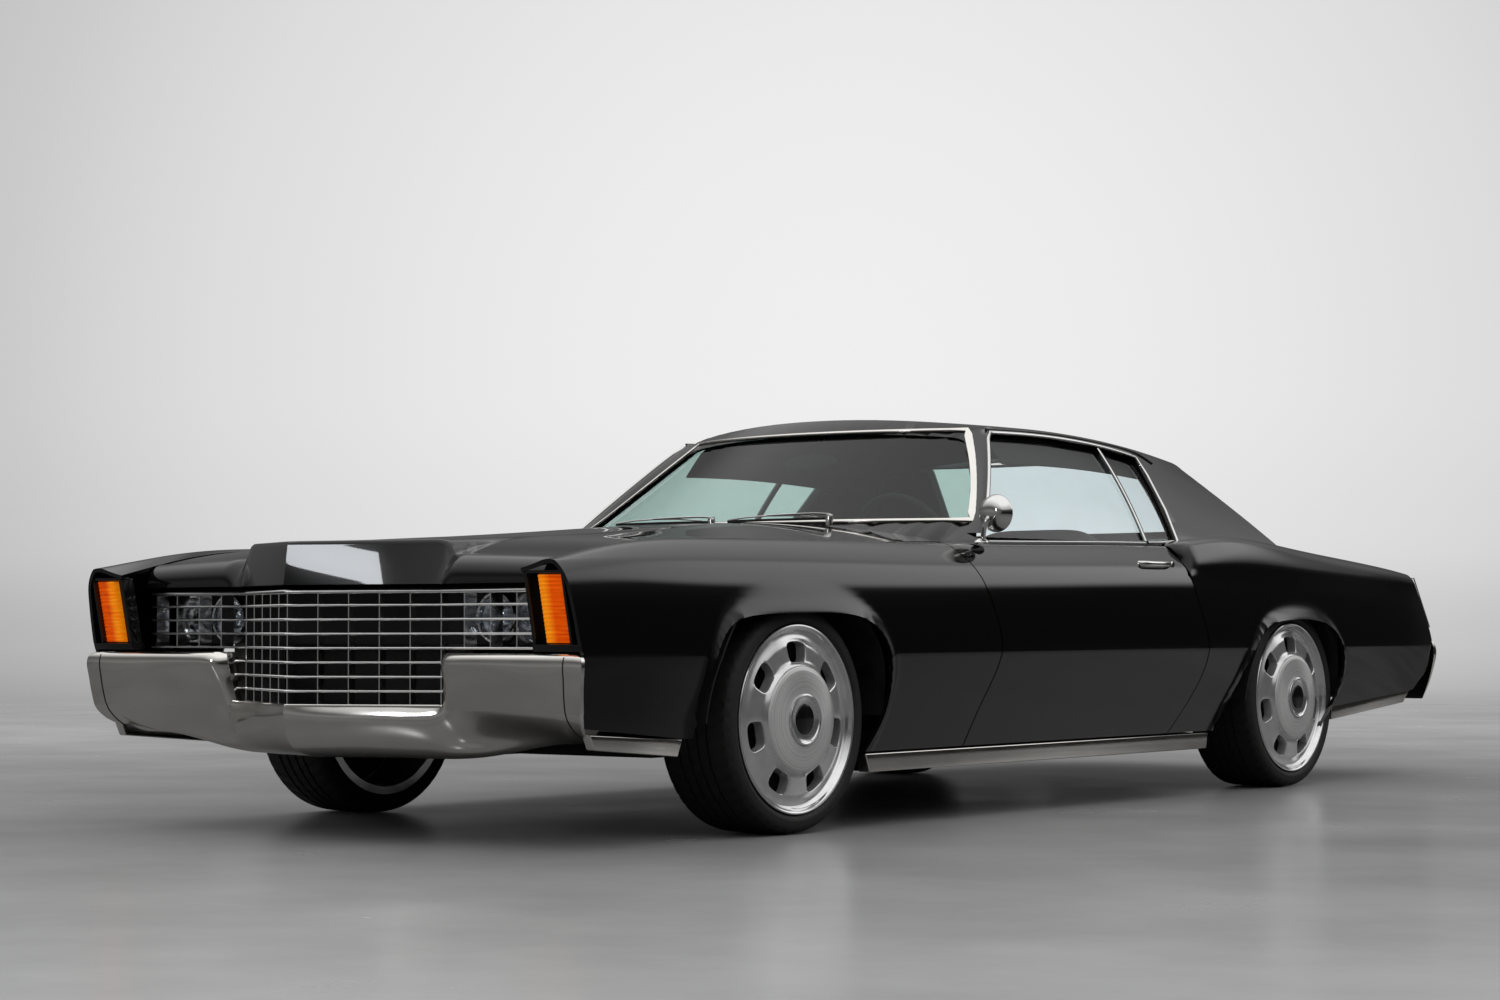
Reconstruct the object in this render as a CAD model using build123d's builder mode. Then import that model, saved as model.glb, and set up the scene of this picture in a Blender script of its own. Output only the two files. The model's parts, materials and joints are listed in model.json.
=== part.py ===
# A two-door hardtop coupe with a V-nosed egg-crate grille, bladed front wings and hipped rear quarters.
# Frame: +Z up, the nose points to -Y, the left side of the car is +X. The origin is on the ground,
# under the middle of the car. All sizes are in millimetres.
import os
from math import cos, radians, sin, sqrt

from build123d import *

os.makedirs("parts", exist_ok=True)

# ---------------------------------------------------------------- driving sizes
overall_length = 5520.0
wheelbase = 3048.0
front_overhang = 1113.0  # nose of the grille to the front axle
half_width = 1014.0  # widest crease of the body side
roof_height = 1317.0

tyre_radius = 333.5
tyre_width = 265.0
tread_width = 238.0
rim_flange_radius = 273.0
rim_bead_radius = 256.0
rim_width = 254.0
wheel_centre_x = half_width - 179.0  # middle of the tread, from the centre plane
hub_seat_x = 70.0  # seat of the rim on its hub, outside the middle of the tread
hub_face_x = wheel_centre_x + hub_seat_x
kingpin_x = wheel_centre_x - 75.0

panel_gap = 6.0  # between a panel that moves and what surrounds it
seam_gap = 0.3  # between fixed pieces that seat on each other
skin = 18.0  # wings, quarters, bonnet and boot lid
door_thickness = 105.0
roof_skin = 34.0
glass_thickness = 5.0

nose_y = -overall_length / 2
tail_y = overall_length / 2
front_axle_y = nose_y + front_overhang
rear_axle_y = front_axle_y + wheelbase
cabin_y = front_axle_y + 1647.0  # doors, screens, seats and controls are placed from here
crease_z = 515.0
sill_top_z = 228.0  # lower edge of doors and wings
sill_bottom_z = 165.0
flare_height = 14.0  # wheel arch lips stand this far out of the body side

bonnet_rear_y = front_axle_y + 700.0
bonnet_half_width = half_width - 208.0
bonnet_lip_z = 722.0

# side view of the door's two shut lines, bottom to top
door_front_line = [
    (cabin_y - 800.0, sill_top_z),
    (cabin_y - 718.0, 369.0),
    (cabin_y - 640.0, crease_z),
    (cabin_y - 669.0, 645.0),
    (cabin_y - 815.0, 905.0),
]
door_rear_line = [
    (cabin_y + 463.0, sill_top_z),
    (cabin_y + 585.0, 340.0),
    (cabin_y + 687.0, crease_z),
    (cabin_y + 619.0, 689.0),
    (cabin_y + 560.0, 905.0),
]

cowl_half_width = bonnet_half_width - 13.0
boot_front_y = rear_axle_y + 235.0
boot_rear_y = tail_y - 299.0
boot_half_width = half_width - 239.0
deck_middle_y = (rear_axle_y + 59.0 + tail_y - 320.0) / 2

# Half cross-sections of the lower body. Each row: station y, then how far inside half_width the bottom edge
# and the crease lie, (inset, z) of the shoulder and of the peak, (distance outside bonnet_half_width, z) of
# the inner edge beside the bonnet or deck, and z on the centre plane.
front_stations = [
    (nose_y + 120, 56, 29, (44, 748), (109, 790), (-6, 762), 775),
    (nose_y + 410, 48, 14, (29, 750), (112, 836), (-6, 822), 842),
    (front_axle_y - 253, 46, 6, (24, 751), (114, 857), (-3, 846), 878),
    (front_axle_y + 247, 45, 2, (21, 753), (115, 862), (0, 856), 912),
    (bonnet_rear_y + 47, 44, 0, (18, 757), (116, 864), (2, 864), 942),
    (cabin_y - 300, 44, 0, (16, 763), (115, 872), (-6, 876), 940),
    (cabin_y + 300, 44, 0, (14, 768), (111, 882), (-6, 884), 935),
    (cabin_y + 760, 44, 0, (14, 768), (106, 886), (-6, 886), 930),
]
rear_stations = [
    (cabin_y + 560, 44, 0, (14, 770), (52, 890), (-6, 900), 940),
    (cabin_y + 890, 44, 0, (14, 770), (48, 917), (-11, 915), 945),
    (rear_axle_y + 59, 44, 4, (20, 762), (58, 886), (-21, 898), 928),
    (deck_middle_y, 52, 15, (33, 746), (71, 850), (-28, 861), 887),
    (tail_y - 320, 69, 42, (56, 725), (82, 809), (-34, 815), 832),
    (tail_y - 20, 99, 76, (84, 700), (99, 775), (-38, 785), 800),
]


def half_section(row, side_inset, top_inset, bottom_z):
    """Closed half cross-section of the lower body at one station, moved inwards by the two insets."""
    y, bottom_inset, crease_inset, shoulder, peak, inner, crown_z = row
    plane = Plane((0, y, 0), x_dir=(1, 0, 0), z_dir=(0, -1, 0))
    centre_bottom = (0, bottom_z)
    side_x = half_width - side_inset
    splay = (bottom_inset - crease_inset) / (crease_z - sill_top_z)
    foot = (side_x - bottom_inset - splay * (sill_top_z - bottom_z), bottom_z)
    crease = (side_x - crease_inset, crease_z)
    shoulder_at = (side_x - shoulder[0], shoulder[1])
    peak_at = (side_x - peak[0], peak[1] - top_inset)
    inner_at = (bonnet_half_width + inner[0] - side_inset / 3, inner[1] - top_inset)
    crown = (0, crown_z - top_inset)
    bow = 5.0
    with BuildSketch(plane) as section:
        with BuildLine():
            Line(centre_bottom, foot)
            Line(foot, crease)
            middle = ((crease[0] + shoulder_at[0]) / 2 + bow, (crease[1] + shoulder_at[1]) / 2)
            ThreePointArc(crease, middle, shoulder_at)
            lean_x = shoulder_at[0] * 0.42 + peak_at[0] * 0.58 + 16
            lean = (lean_x, shoulder_at[1] * 0.42 + peak_at[1] * 0.58 + 8)
            ThreePointArc(shoulder_at, lean, peak_at)
            dip = ((peak_at[0] + inner_at[0]) / 2, (peak_at[1] + inner_at[1]) / 2 - 2)
            ThreePointArc(peak_at, dip, inner_at)
            rise = (inner_at[0] / 2, inner_at[1] + (crown[1] - inner_at[1]) * 0.78)
            ThreePointArc(inner_at, rise, crown)
            Line(crown, centre_bottom)
        make_face()
    return section.sketch


def body_volume(stations, side_inset=0.0, top_inset=0.0, bottom_z=sill_top_z):
    """Solid half of the lower body, lofted through its stations."""
    with BuildPart() as half:
        loft([half_section(row, side_inset, top_inset, bottom_z).face() for row in stations])
    return half.part


def side_prism(points_or_wire, x_from, x_to):
    """Prism across the car from a closed side-view outline of (y, z) points."""
    with BuildPart() as prism:
        with BuildSketch(Plane.YZ.offset(x_from)):
            with BuildLine():
                Polyline(*points_or_wire, close=True)
            make_face()
        extrude(amount=x_to - x_from)
    return prism.part


def curved_prism(build_outline, x_from, x_to):
    """Prism across the car from a side-view outline that build_outline draws in the open sketch."""
    with BuildPart() as prism:
        with BuildSketch(Plane.YZ.offset(x_from)):
            with BuildLine():
                build_outline()
            make_face()
        extrude(amount=x_to - x_from)
    return prism.part


def block(x_from, x_to, y_from, y_to, z_from, z_to):
    """Axis-aligned block between two corners."""
    with BuildPart() as made:
        with Locations(((x_from + x_to) / 2, (y_from + y_to) / 2, (z_from + z_to) / 2)):
            Box(x_to - x_from, y_to - y_from, z_to - z_from)
    return made.part


def mirrored(shape):
    return shape.mirror(Plane.YZ)


def save(shape, name):
    solids = shape.solids()
    made = solids[0] if len(solids) == 1 else Compound(children=list(solids))
    made.label = name
    export_step(made, f"parts/{name}.step")
    return made


def shifted(line, offset):
    return [(y + offset, z) for y, z in line]


def below_edge(edge, y):
    """Point at y just under a straight lower edge given by its front and rear ends."""
    (front_y, front_z), (rear_y, rear_z) = edge
    return (y, front_z + (rear_z - front_z) * (y - front_y) / (rear_y - front_y) - seam_gap)


# ---------------------------------------------------------------- wheel openings
def front_arch_outline():
    """Side-view outline of the front wheel opening, from below the sill round the tyre and back."""
    floor_z = 60.0
    Line((front_axle_y - 560, floor_z), (front_axle_y - 510, 296))
    Spline(
        (front_axle_y - 510, 296),
        (front_axle_y - 447, 500),
        (front_axle_y - 380, 600),
        (front_axle_y - 255, 634),
        (front_axle_y, 641),
        (front_axle_y + 210, 634),
        (front_axle_y + 350, 575),
        (front_axle_y + 404, 440),
        (front_axle_y + 375, 310),
        (front_axle_y + 300, 200),
    )
    Line((front_axle_y + 300, 200), (front_axle_y + 180, floor_z))
    Line((front_axle_y + 180, floor_z), (front_axle_y - 560, floor_z))


def rear_arch_outline():
    """Side-view outline of the rear wheel opening."""
    floor_z = 60.0
    Line((rear_axle_y - 780, floor_z), (rear_axle_y - 618, 250))
    Spline(
        (rear_axle_y - 618, 250),
        (rear_axle_y - 400, 505),
        (rear_axle_y - 300, 590),
        (rear_axle_y - 150, 618),
        (rear_axle_y + 60, 620),
        (rear_axle_y + 240, 585),
        (rear_axle_y + 336, 500),
        (rear_axle_y + 340, 390),
        (rear_axle_y + 200, 200),
    )
    Line((rear_axle_y + 200, 200), (rear_axle_y + 120, floor_z))
    Line((rear_axle_y + 120, floor_z), (rear_axle_y - 780, floor_z))


def flare_outline(axle_y, points):
    """Closed side-view outline of the outer edge of a wheel arch lip."""

    def outline():
        line = [(axle_y + y, z) for y, z in points]
        Spline(*line)
        Line(line[-1], (line[-1][0] - 60, 200))
        Line((line[-1][0] - 60, 200), (line[0][0] + 60, 200))
        Line((line[0][0] + 60, 200), line[0])

    return outline


front_arch = curved_prism(front_arch_outline, 700.0, 1100.0)
rear_arch = curved_prism(rear_arch_outline, 700.0, 1100.0)
front_flare_points = [
    (-466, 470),
    (-385, 656),
    (-200, 730),
    (-23, 744),
    (150, 725),
    (267, 679),
    (410, 560),
    (428, 430),
]
rear_flare_points = [
    (-352, 560),
    (-262, 645),
    (-120, 682),
    (0, 688),
    (150, 668),
    (262, 610),
    (352, 490),
    (356, 385),
]
front_flare = curved_prism(flare_outline(front_axle_y, front_flare_points), 700.0, 1100.0)
rear_flare = curved_prism(flare_outline(rear_axle_y, rear_flare_points), 700.0, 1100.0)

# ---------------------------------------------------------------- outer and inner skins of the lower body
front_outer = body_volume(front_stations)
front_inner = body_volume(front_stations, skin, skin, 100.0)
front_door_inner = body_volume(front_stations, door_thickness, skin, 100.0)
rear_outer = body_volume(rear_stations)
rear_inner = body_volume(rear_stations, skin, skin, 100.0)
front_lip = (body_volume(front_stations, -flare_height) & front_flare) - front_inner
rear_lip = (body_volume(rear_stations, -flare_height) & rear_flare) - rear_inner


def curved_region_ahead(line):
    def outline():
        Spline(*line)
        Line(line[-1], (line[-1][0], 1100))
        Line((line[-1][0], 1100), (nose_y - 100, 1100))
        Line((nose_y - 100, 1100), (nose_y - 100, 100))
        Line((nose_y - 100, 100), (line[0][0], 100))
        Line((line[0][0], 100), line[0])

    return curved_prism(outline, 0.0, 1100.0)


def curved_region_behind(line):
    def outline():
        Spline(*line)
        Line(line[-1], (line[-1][0], 1100))
        Line((line[-1][0], 1100), (tail_y + 100, 1100))
        Line((tail_y + 100, 1100), (tail_y + 100, 100))
        Line((tail_y + 100, 100), (line[0][0], 100))
        Line((line[0][0], 100), line[0])

    return curved_prism(outline, 0.0, 1100.0)


# ---------------------------------------------------------------- bonnet
nose_base = [(0.0, nose_y), (393.0, nose_y + 194)]  # plan of the nose where it meets the grille
nose_top = [(0.0, nose_y + 27), (414.0, nose_y + 257)]  # plan of the raised nose's upper edge
nose_top_z = 846.0


def nose_cut():
    """Solid behind the raked V face of the bonnet's raised nose."""

    def at(z, base, top):
        share = (z - bonnet_lip_z) / (nose_top_z - bonnet_lip_z)
        return tuple(b + (t - b) * share for b, t in zip(base, top))

    sections = []
    for z in (bonnet_lip_z, 1000.0):
        tip, corner = at(z, nose_base[0], nose_top[0]), at(z, nose_base[1], nose_top[1])
        with BuildSketch(Plane.XY.offset(z)) as plan:
            with BuildLine():
                Polyline((0, tip[1]), corner, (corner[0] + 60, bonnet_rear_y), (0, bonnet_rear_y), close=True)
            make_face()
        sections.append(plan.sketch.face())
    with BuildPart() as behind:
        loft(sections, ruled=True)
    return behind.part


raised_nose_stations = [  # y, half width at the foot, z of the top
    (nose_y - 20.0, 432.0, 843.0),
    (nose_y + 360.0, 408.0, 856.0),
    (front_axle_y - 153.0, 345.0, 886.0),
    (front_axle_y + 397.0, 250.0, 921.0),
]


def raised_nose(inset):
    sections = []
    for y, width, top_z in raised_nose_stations:
        with BuildSketch(Plane((0, y, 0), x_dir=(1, 0, 0), z_dir=(0, -1, 0))) as section:
            with BuildLine():
                Line((0, bonnet_lip_z), (width - inset, bonnet_lip_z))
                Line((width - inset, bonnet_lip_z), (width - inset, top_z - 42 - inset))
                ThreePointArc(
                    (width - inset, top_z - 42 - inset),
                    (width - inset - 12, top_z - 13 - inset),
                    (width - inset - 42, top_z - 3 - inset),
                )
                Line((width - inset - 42, top_z - 3 - inset), (0, top_z - inset))
                Line((0, top_z - inset), (0, bonnet_lip_z))
            make_face()
        sections.append(section.sketch.face())
    with BuildPart() as nose:
        loft(sections)
    return nose.part


bonnet_front_y = nose_y + 192.0
bonnet_edge_x = bonnet_half_width - panel_gap / 2
bonnet_half_plan = block(0, bonnet_edge_x, bonnet_front_y, bonnet_rear_y, bonnet_lip_z, 1000)
bonnet_half_inner = block(0, bonnet_edge_x - 27, bonnet_front_y + skin, bonnet_rear_y - skin, 100, 1000)
with BuildPart() as bonnet_half:
    add(front_outer & bonnet_half_plan)
    add(raised_nose(0) & nose_cut())
    nose_room = raised_nose(skin) & nose_cut().moved(Location((0, skin, 0)))
    add((front_inner & bonnet_half_inner) + nose_room, mode=Mode.SUBTRACT)
with BuildPart() as bonnet:
    add(bonnet_half.part)
    mirror(about=Plane.YZ)
save(bonnet.part, "bonnet")

# ---------------------------------------------------------------- front wings
def pod_y(z):
    """Front edge of the bladed wing tip at a height: it leans forwards towards its top."""
    return nose_y + 140 - (z - 545) * 0.204


wing_low_front = (nose_y + 90, 340)
wing_low_rear = (front_axle_y - 520, 292)


wing_front_low = [wing_low_front, wing_low_rear, (wing_low_rear[0], 0), (nose_y - 60, 0), (nose_y - 60, 340)]
bumper_end_y = nose_y + 152  # wings start here, behind the bumper's end caps
pod_front = [
    (pod_y(800), 1000),
    (pod_y(800), 800),
    (pod_y(545), 545),
    (bumper_end_y, 532),
    (bumper_end_y, 380),
    (bumper_end_y + 48, 284),
    (bumper_end_y + 48, 100),
    (nose_y - 60, 100),
    (nose_y - 60, 1000),
]
pod_wall = [(pod_y(546) + 27, 546), (pod_y(800) + 27, 800), (pod_y(800) + 45, 800), (pod_y(546) + 45, 546)]
rail_x = bonnet_half_width + panel_gap / 2
rail_bottom_z = bonnet_lip_z - 9
with BuildPart() as front_wing:
    add(front_outer & curved_region_ahead(shifted(door_front_line, -panel_gap)))
    add(front_inner, mode=Mode.SUBTRACT)
    add(front_lip)
    add(block(-10, rail_x, nose_y - 60, bonnet_rear_y + 2, 0, 1100), mode=Mode.SUBTRACT)
    add(block(-10, cowl_half_width + seam_gap, bonnet_rear_y, cabin_y, 0, 1100), mode=Mode.SUBTRACT)
    add(side_prism(wing_front_low, 0, 1100), mode=Mode.SUBTRACT)
    add(side_prism(pod_front, 0, 1100), mode=Mode.SUBTRACT)
    add(front_arch, mode=Mode.SUBTRACT)
    add(front_inner & block(rail_x, rail_x + 8, nose_y + 200, bonnet_rear_y, rail_bottom_z, 1000))
    add(block(rail_x - 28, rail_x + 8, nose_y + 200, bonnet_rear_y, rail_bottom_z, bonnet_lip_z - seam_gap))
    add(front_inner & side_prism(pod_wall, rail_x, 1100))
save(front_wing.part, "front_wing_left")
save(mirrored(front_wing.part), "front_wing_right")

# ---------------------------------------------------------------- doors
def door_region(inset):
    """Prism across the car of the door's side-view outline, moved inwards by the inset."""
    front = shifted(door_front_line, inset)
    rear = shifted(door_rear_line, -inset)

    def outline():
        Spline(*front)
        Line(front[-1], (front[-1][0], 1100))
        Line((front[-1][0], 1100), (rear[-1][0], 1100))
        Line((rear[-1][0], 1100), rear[-1])
        Spline(*reversed(rear))
        Line(rear[0], front[0])

    return curved_prism(outline, 0.0, 1100.0)


def handle_bar():
    with BuildPart() as bar:
        with BuildSketch(Plane.YZ.offset(half_width - 29)):
            with Locations((cabin_y + 379, 812)):
                SlotOverall(204, 26)
        extrude(amount=26)
    return bar.part


with BuildPart() as door:
    add((front_outer - front_inner) & door_region(0))
    add((front_inner - front_door_inner) & door_region(16) & block(0, 1300, nose_y, tail_y, sill_top_z, 1100))
    add(block(-10, cowl_half_width + panel_gap + 7, nose_y, tail_y, 0, 1100), mode=Mode.SUBTRACT)
    add(handle_bar())
save(door.part, "door_left")
save(mirrored(door.part), "door_right")

# ---------------------------------------------------------------- greenhouse
# y, belt (x, z), rail where the side turns into the roof (x, z), z on the centre plane
greenhouse_stations = [
    (cabin_y - 900, (half_width - 100, 868), (half_width - 338, roof_height - 101), roof_height - 27),
    (cabin_y - 180, (half_width - 106, 872), (half_width - 344, roof_height - 72), roof_height - 1),
    (cabin_y + 250, (half_width - 104, 880), (half_width - 340, roof_height - 69), roof_height),
    (cabin_y + 750, (half_width - 108, 884), (half_width - 344, roof_height - 95), roof_height - 16),
    (cabin_y + 1130, (half_width - 121, 888), (half_width - 374, roof_height - 131), roof_height - 45),
    (cabin_y + 1700, (half_width - 142, 888), (half_width - 414, roof_height - 205), roof_height - 117),
]


def greenhouse(inset):
    sections = []
    for y, belt, rail, crown_z in greenhouse_stations:
        with BuildSketch(Plane((0, y, 0), x_dir=(1, 0, 0), z_dir=(0, -1, 0))) as section:
            belt_at = (belt[0] - inset * 1.15, belt[1])
            rail_at = (rail[0] - inset * 1.1, rail[1] - inset * 0.75)
            edge = (rail_at[0] - 68, rail_at[1] + 33)
            crown = (0, crown_z - inset)
            with BuildLine():
                Line((0, 700), (belt_at[0] + 40, 700))
                Line((belt_at[0] + 40, 700), belt_at)
                middle = ((belt_at[0] + rail_at[0]) / 2 + 11, (belt_at[1] + rail_at[1]) / 2 + 7)
                ThreePointArc(belt_at, middle, rail_at)
                ThreePointArc(rail_at, (rail_at[0] - 26, rail_at[1] + 21), edge)
                ThreePointArc(edge, (edge[0] / 2, edge[1] + (crown[1] - edge[1]) * 0.76), crown)
                Line(crown, (0, 700))
            make_face()
        sections.append(section.sketch.face())
    with BuildPart() as dome:
        loft(sections)
    return dome.part


def bowed_screen(levels, far_y):
    """Solid between a screen bowed in plan and a flat plane; levels are (z, centre y, bow at x, that x)."""
    sections = []
    reach = 1000.0
    for z, centre_y, bow, bow_x in levels:
        radius = (bow_x**2 + bow**2) / (2 * abs(bow))
        turn = 1 if bow > 0 else -1
        end_y = centre_y + turn * (radius - sqrt(radius**2 - reach**2))
        with BuildSketch(Plane.XY.offset(z)) as plan:
            with BuildLine():
                ThreePointArc((-reach, end_y), (0, centre_y), (reach, end_y))
                Polyline((reach, end_y), (reach, far_y), (-reach, far_y), (-reach, end_y))
            make_face()
        sections.append(plan.sketch.face())
    with BuildPart() as solid:
        loft(sections, ruled=True)
    return solid.part


def windscreen_side(y_offset):
    foot_y = cabin_y - 1095 + y_offset
    return bowed_screen([(700, foot_y, 177, 849), (1400, foot_y + 945, 169, 582)], cabin_y + 2300)


def backlight_side(y_offset):
    foot_y = cabin_y + 1901 - y_offset
    return bowed_screen([(700, foot_y, -110, 720), (1400, foot_y - 938, -110, 720)], cabin_y - 1400)


dome = greenhouse(0)
windscreen_reach = windscreen_side(0)
backlight_reach = backlight_side(0)
right_half_cut = block(-1300, 0, nose_y - 300, tail_y + 300, 0, 1500)
screen_bottom_z = 948.0
screen_top_z = roof_height - 55
backlight_bottom_z = 962.0
backlight_top_z = roof_height - 77


def placed_in_cabin(points):
    return [(cabin_y + y, z) for y, z in points]


window_top = roof_height - 68
window_edge = [
    (-616, 845),
    (-186, window_top - 2),
    (179, window_top),
    (511, window_top - 17),
    (747, window_top - 44),
    (652, 845),
]
side_window = placed_in_cabin(window_edge)
windscreen_opening = greenhouse(52) & (windscreen_side(-40) - windscreen_side(70))
windscreen_opening &= block(0, 1300, nose_y, tail_y, screen_bottom_z, screen_top_z)


def backlight_prism(margin):
    """Half of the rear window's outline, moved inwards by the margin, run along the car."""
    with BuildPart() as prism:
        with BuildSketch(Plane.XZ):
            with BuildLine():
                Polyline(
                    (0, backlight_bottom_z + margin),
                    (half_width - 424 - margin, backlight_bottom_z + margin),
                    (half_width - 534 - margin, backlight_top_z - 18 - margin),
                    (0, backlight_top_z - margin),
                    close=True,
                )
            make_face()
        extrude(amount=-tail_y)
    return prism.part


backlight_opening = backlight_prism(0) & (backlight_side(-40) - backlight_side(120))

with BuildPart() as roof_half:
    add(dome & windscreen_reach & backlight_reach)
    cabin_room = greenhouse(roof_skin) & windscreen_side(roof_skin) & backlight_side(roof_skin + 10)
    add(cabin_room, mode=Mode.SUBTRACT)
    add(windscreen_opening, mode=Mode.SUBTRACT)
    add(backlight_opening, mode=Mode.SUBTRACT)
    add(side_prism(side_window, 400, 1100), mode=Mode.SUBTRACT)
    add(front_outer.moved(Location((0, 0, seam_gap))), mode=Mode.SUBTRACT)
    door_room = block(cowl_half_width, 1300, cabin_y - 900, cabin_y + 700, 0, 1500)
    add(front_outer.moved(Location((0, 0, panel_gap + 0.5))) & door_room, mode=Mode.SUBTRACT)
    add(rear_outer.moved(Location((0, 0, seam_gap))), mode=Mode.SUBTRACT)
    add(right_half_cut, mode=Mode.SUBTRACT)
with BuildPart() as roof:
    add(roof_half.part)
    mirror(about=Plane.YZ)
save(roof.part, "roof_panel")

# ---------------------------------------------------------------- glass
def glass_clear(shape):
    """Half of a pane, cut free of the lower body."""
    with BuildPart() as pane:
        add(shape)
        add(front_outer.moved(Location((0, 0, seam_gap))), mode=Mode.SUBTRACT)
        add(rear_outer.moved(Location((0, 0, seam_gap))), mode=Mode.SUBTRACT)
        add(right_half_cut, mode=Mode.SUBTRACT)
    return pane.part


pane_dome = greenhouse(14) - greenhouse(14 + glass_thickness)
glass_top = window_top - 8
door_glass_edge = placed_in_cabin(
    [(-600, 845), (-178, glass_top - 3), (179, glass_top), (491, glass_top - 16), (455, 845)]
)
quarter_glass_edge = placed_in_cabin([(503, glass_top - 17), (738, glass_top - 43), (645, 845), (467, 845)])
door_glass = glass_clear(pane_dome & side_prism(door_glass_edge, 400, 1100))
quarter_glass = glass_clear(pane_dome & side_prism(quarter_glass_edge, 400, 1100))
save(door_glass, "door_glass_left")
save(mirrored(door_glass), "door_glass_right")
save(quarter_glass, "quarter_glass_left")
save(mirrored(quarter_glass), "quarter_glass_right")

screen_slab = windscreen_side(14) - windscreen_side(14 + glass_thickness)
screen_room = block(0, 1300, nose_y, tail_y, screen_bottom_z + 1, screen_top_z - 1)
screen_half = screen_slab & greenhouse(53) & screen_room
with BuildPart() as windscreen:
    add(screen_half)
    mirror(about=Plane.YZ)
save(windscreen.part, "windscreen")

with BuildPart() as backlight:
    add((backlight_side(14) - backlight_side(14 + glass_thickness)) & backlight_prism(1))
    mirror(about=Plane.YZ)
save(backlight.part, "rear_window")

# ---------------------------------------------------------------- rear quarters, decks and tail
boot_edge_x = boot_half_width + panel_gap
tail_profile = [
    (-287, 1100),
    (-287, 788),
    (-160, 600),
    (-117.3, 540),
    (-160, 416),
    (-309, 347),
    (-370, 290),
    (-370, 0),
    (140, 0),
    (140, 1100),
]
tail_edge = [(tail_y + y, z) for y, z in tail_profile]
quarter_low_front = (rear_axle_y + 300, 290)
quarter_low_rear = (tail_y - 330, 340)
quarter_low = [quarter_low_front, quarter_low_rear, (tail_y - 330, 0), (rear_axle_y + 300, 0)]


with BuildPart() as quarter:
    add((rear_outer - rear_inner) & curved_region_behind(shifted(door_rear_line, panel_gap)))
    add(rear_lip)
    add(block(-10, boot_edge_x, 0, tail_y + 300, 0, 1100), mode=Mode.SUBTRACT)
    add(side_prism(tail_edge, 0, 1100), mode=Mode.SUBTRACT)
    add(side_prism(quarter_low, 0, 1100), mode=Mode.SUBTRACT)
    add(rear_arch, mode=Mode.SUBTRACT)
    with Locations(Location((900, rear_axle_y, tyre_radius), (0, 90, 0))):
        Cylinder(tyre_radius + 10, 400, mode=Mode.SUBTRACT)
save(quarter.part, "quarter_panel_left")
save(mirrored(quarter.part), "quarter_panel_right")


def deck_panel(y_from, y_to, half_x, shell, name):
    with BuildPart() as deck:
        add(shell & block(0, half_x, y_from, y_to, 700, 1100))
        mirror(about=Plane.YZ)
    return save(deck.part, name)


front_shell = front_outer - front_inner
rear_shell = rear_outer - rear_inner
deck_panel(bonnet_rear_y + panel_gap, cabin_y - 560, cowl_half_width, front_shell, "cowl_panel")
rear_clear = body_volume(rear_stations, skin + seam_gap, skin + seam_gap, 100.0)
rear_gutter = rear_clear - body_volume(rear_stations, skin + 6, skin + 6, 100.0)
with BuildPart() as rear_deck:
    add(rear_shell & block(0, boot_edge_x - seam_gap, cabin_y + 1390, boot_front_y - panel_gap, 700, 1100))
    add(rear_gutter & block(0, boot_edge_x - seam_gap, boot_front_y - 20, boot_front_y + 30, 700, 1100))
    mirror(about=Plane.YZ)
save(rear_deck.part, "rear_deck")
deck_panel(boot_front_y, boot_rear_y, boot_half_width, rear_shell, "boot_lid")

tail_face = [
    (boot_rear_y + panel_gap, 700),
    (boot_rear_y + panel_gap, 812),
    (tail_y - 160, 790),
    (tail_y - 120, 600),
    (tail_y - 160, 350),
    (tail_y - 200, 350),
    (tail_y - 160, 600),
    (tail_y - 195, 700),
]
with BuildPart() as tail_panel:
    add(side_prism(tail_face, -boot_edge_x + seam_gap, boot_edge_x - seam_gap))
save(tail_panel.part, "tail_panel")

# ---------------------------------------------------------------- bumpers
def bumper_half(levels):
    """Ruled loft of closed plan outlines; each level is z and that outline's points."""
    sections = []
    for z, outline in levels:
        with BuildSketch(Plane.XY.offset(z)) as plan:
            with BuildLine():
                Polyline(*outline, close=True)
            make_face()
        sections.append(plan.sketch.face())
    with BuildPart() as made:
        loft(sections, ruled=True)
    return made.part


def with_back(front, back):
    """Plan outline of a bumper: its front line, a folded end 12 mm deep, and its back line to the centre."""
    end_x, end_y = front[-1]
    return [*front, (end_x, end_y + 12), (end_x - 72, end_y + 12), *back]


end_x = half_width - 14  # tips of the front bumper
bumper_back_y = nose_y + 340
front_bumper_back = [
    (end_x - 130, bumper_back_y),
    (380, bumper_back_y),
    (380, nose_y + 280),
    (0, nose_y + 280),
]
blade_back = [(end_x - 90, nose_y + 250), (432, nose_y + 250)]
front_bumper_levels = [
    (236.0, [(0, nose_y + 130), (417, nose_y + 260), (end_x - 100, nose_y + 272)]),
    (284.0, [(0, nose_y + 21), (415, nose_y + 205), (end_x - 50, nose_y + 185)]),
    (380.0, [(0, nose_y), (413, nose_y + 188), (end_x - 15, nose_y + 138)]),
]
front_blade_levels = [
    (380.0, [(432, nose_y + 186), (700, nose_y + 160), (end_x - 15, nose_y + 138)]),
    (503.0, [(432, nose_y + 147), (700, nose_y + 132), (end_x, nose_y + 123)]),
    (530.0, [(432, nose_y + 160), (700, nose_y + 148), (end_x - 33, nose_y + 137)]),
]
with BuildPart() as front_bumper:
    add(bumper_half([(z, with_back(front, front_bumper_back)) for z, front in front_bumper_levels]))
    add(bumper_half([(z, with_back(front, blade_back)) for z, front in front_blade_levels]))
    mirror(about=Plane.YZ)
save(front_bumper.part, "front_bumper")

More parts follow.
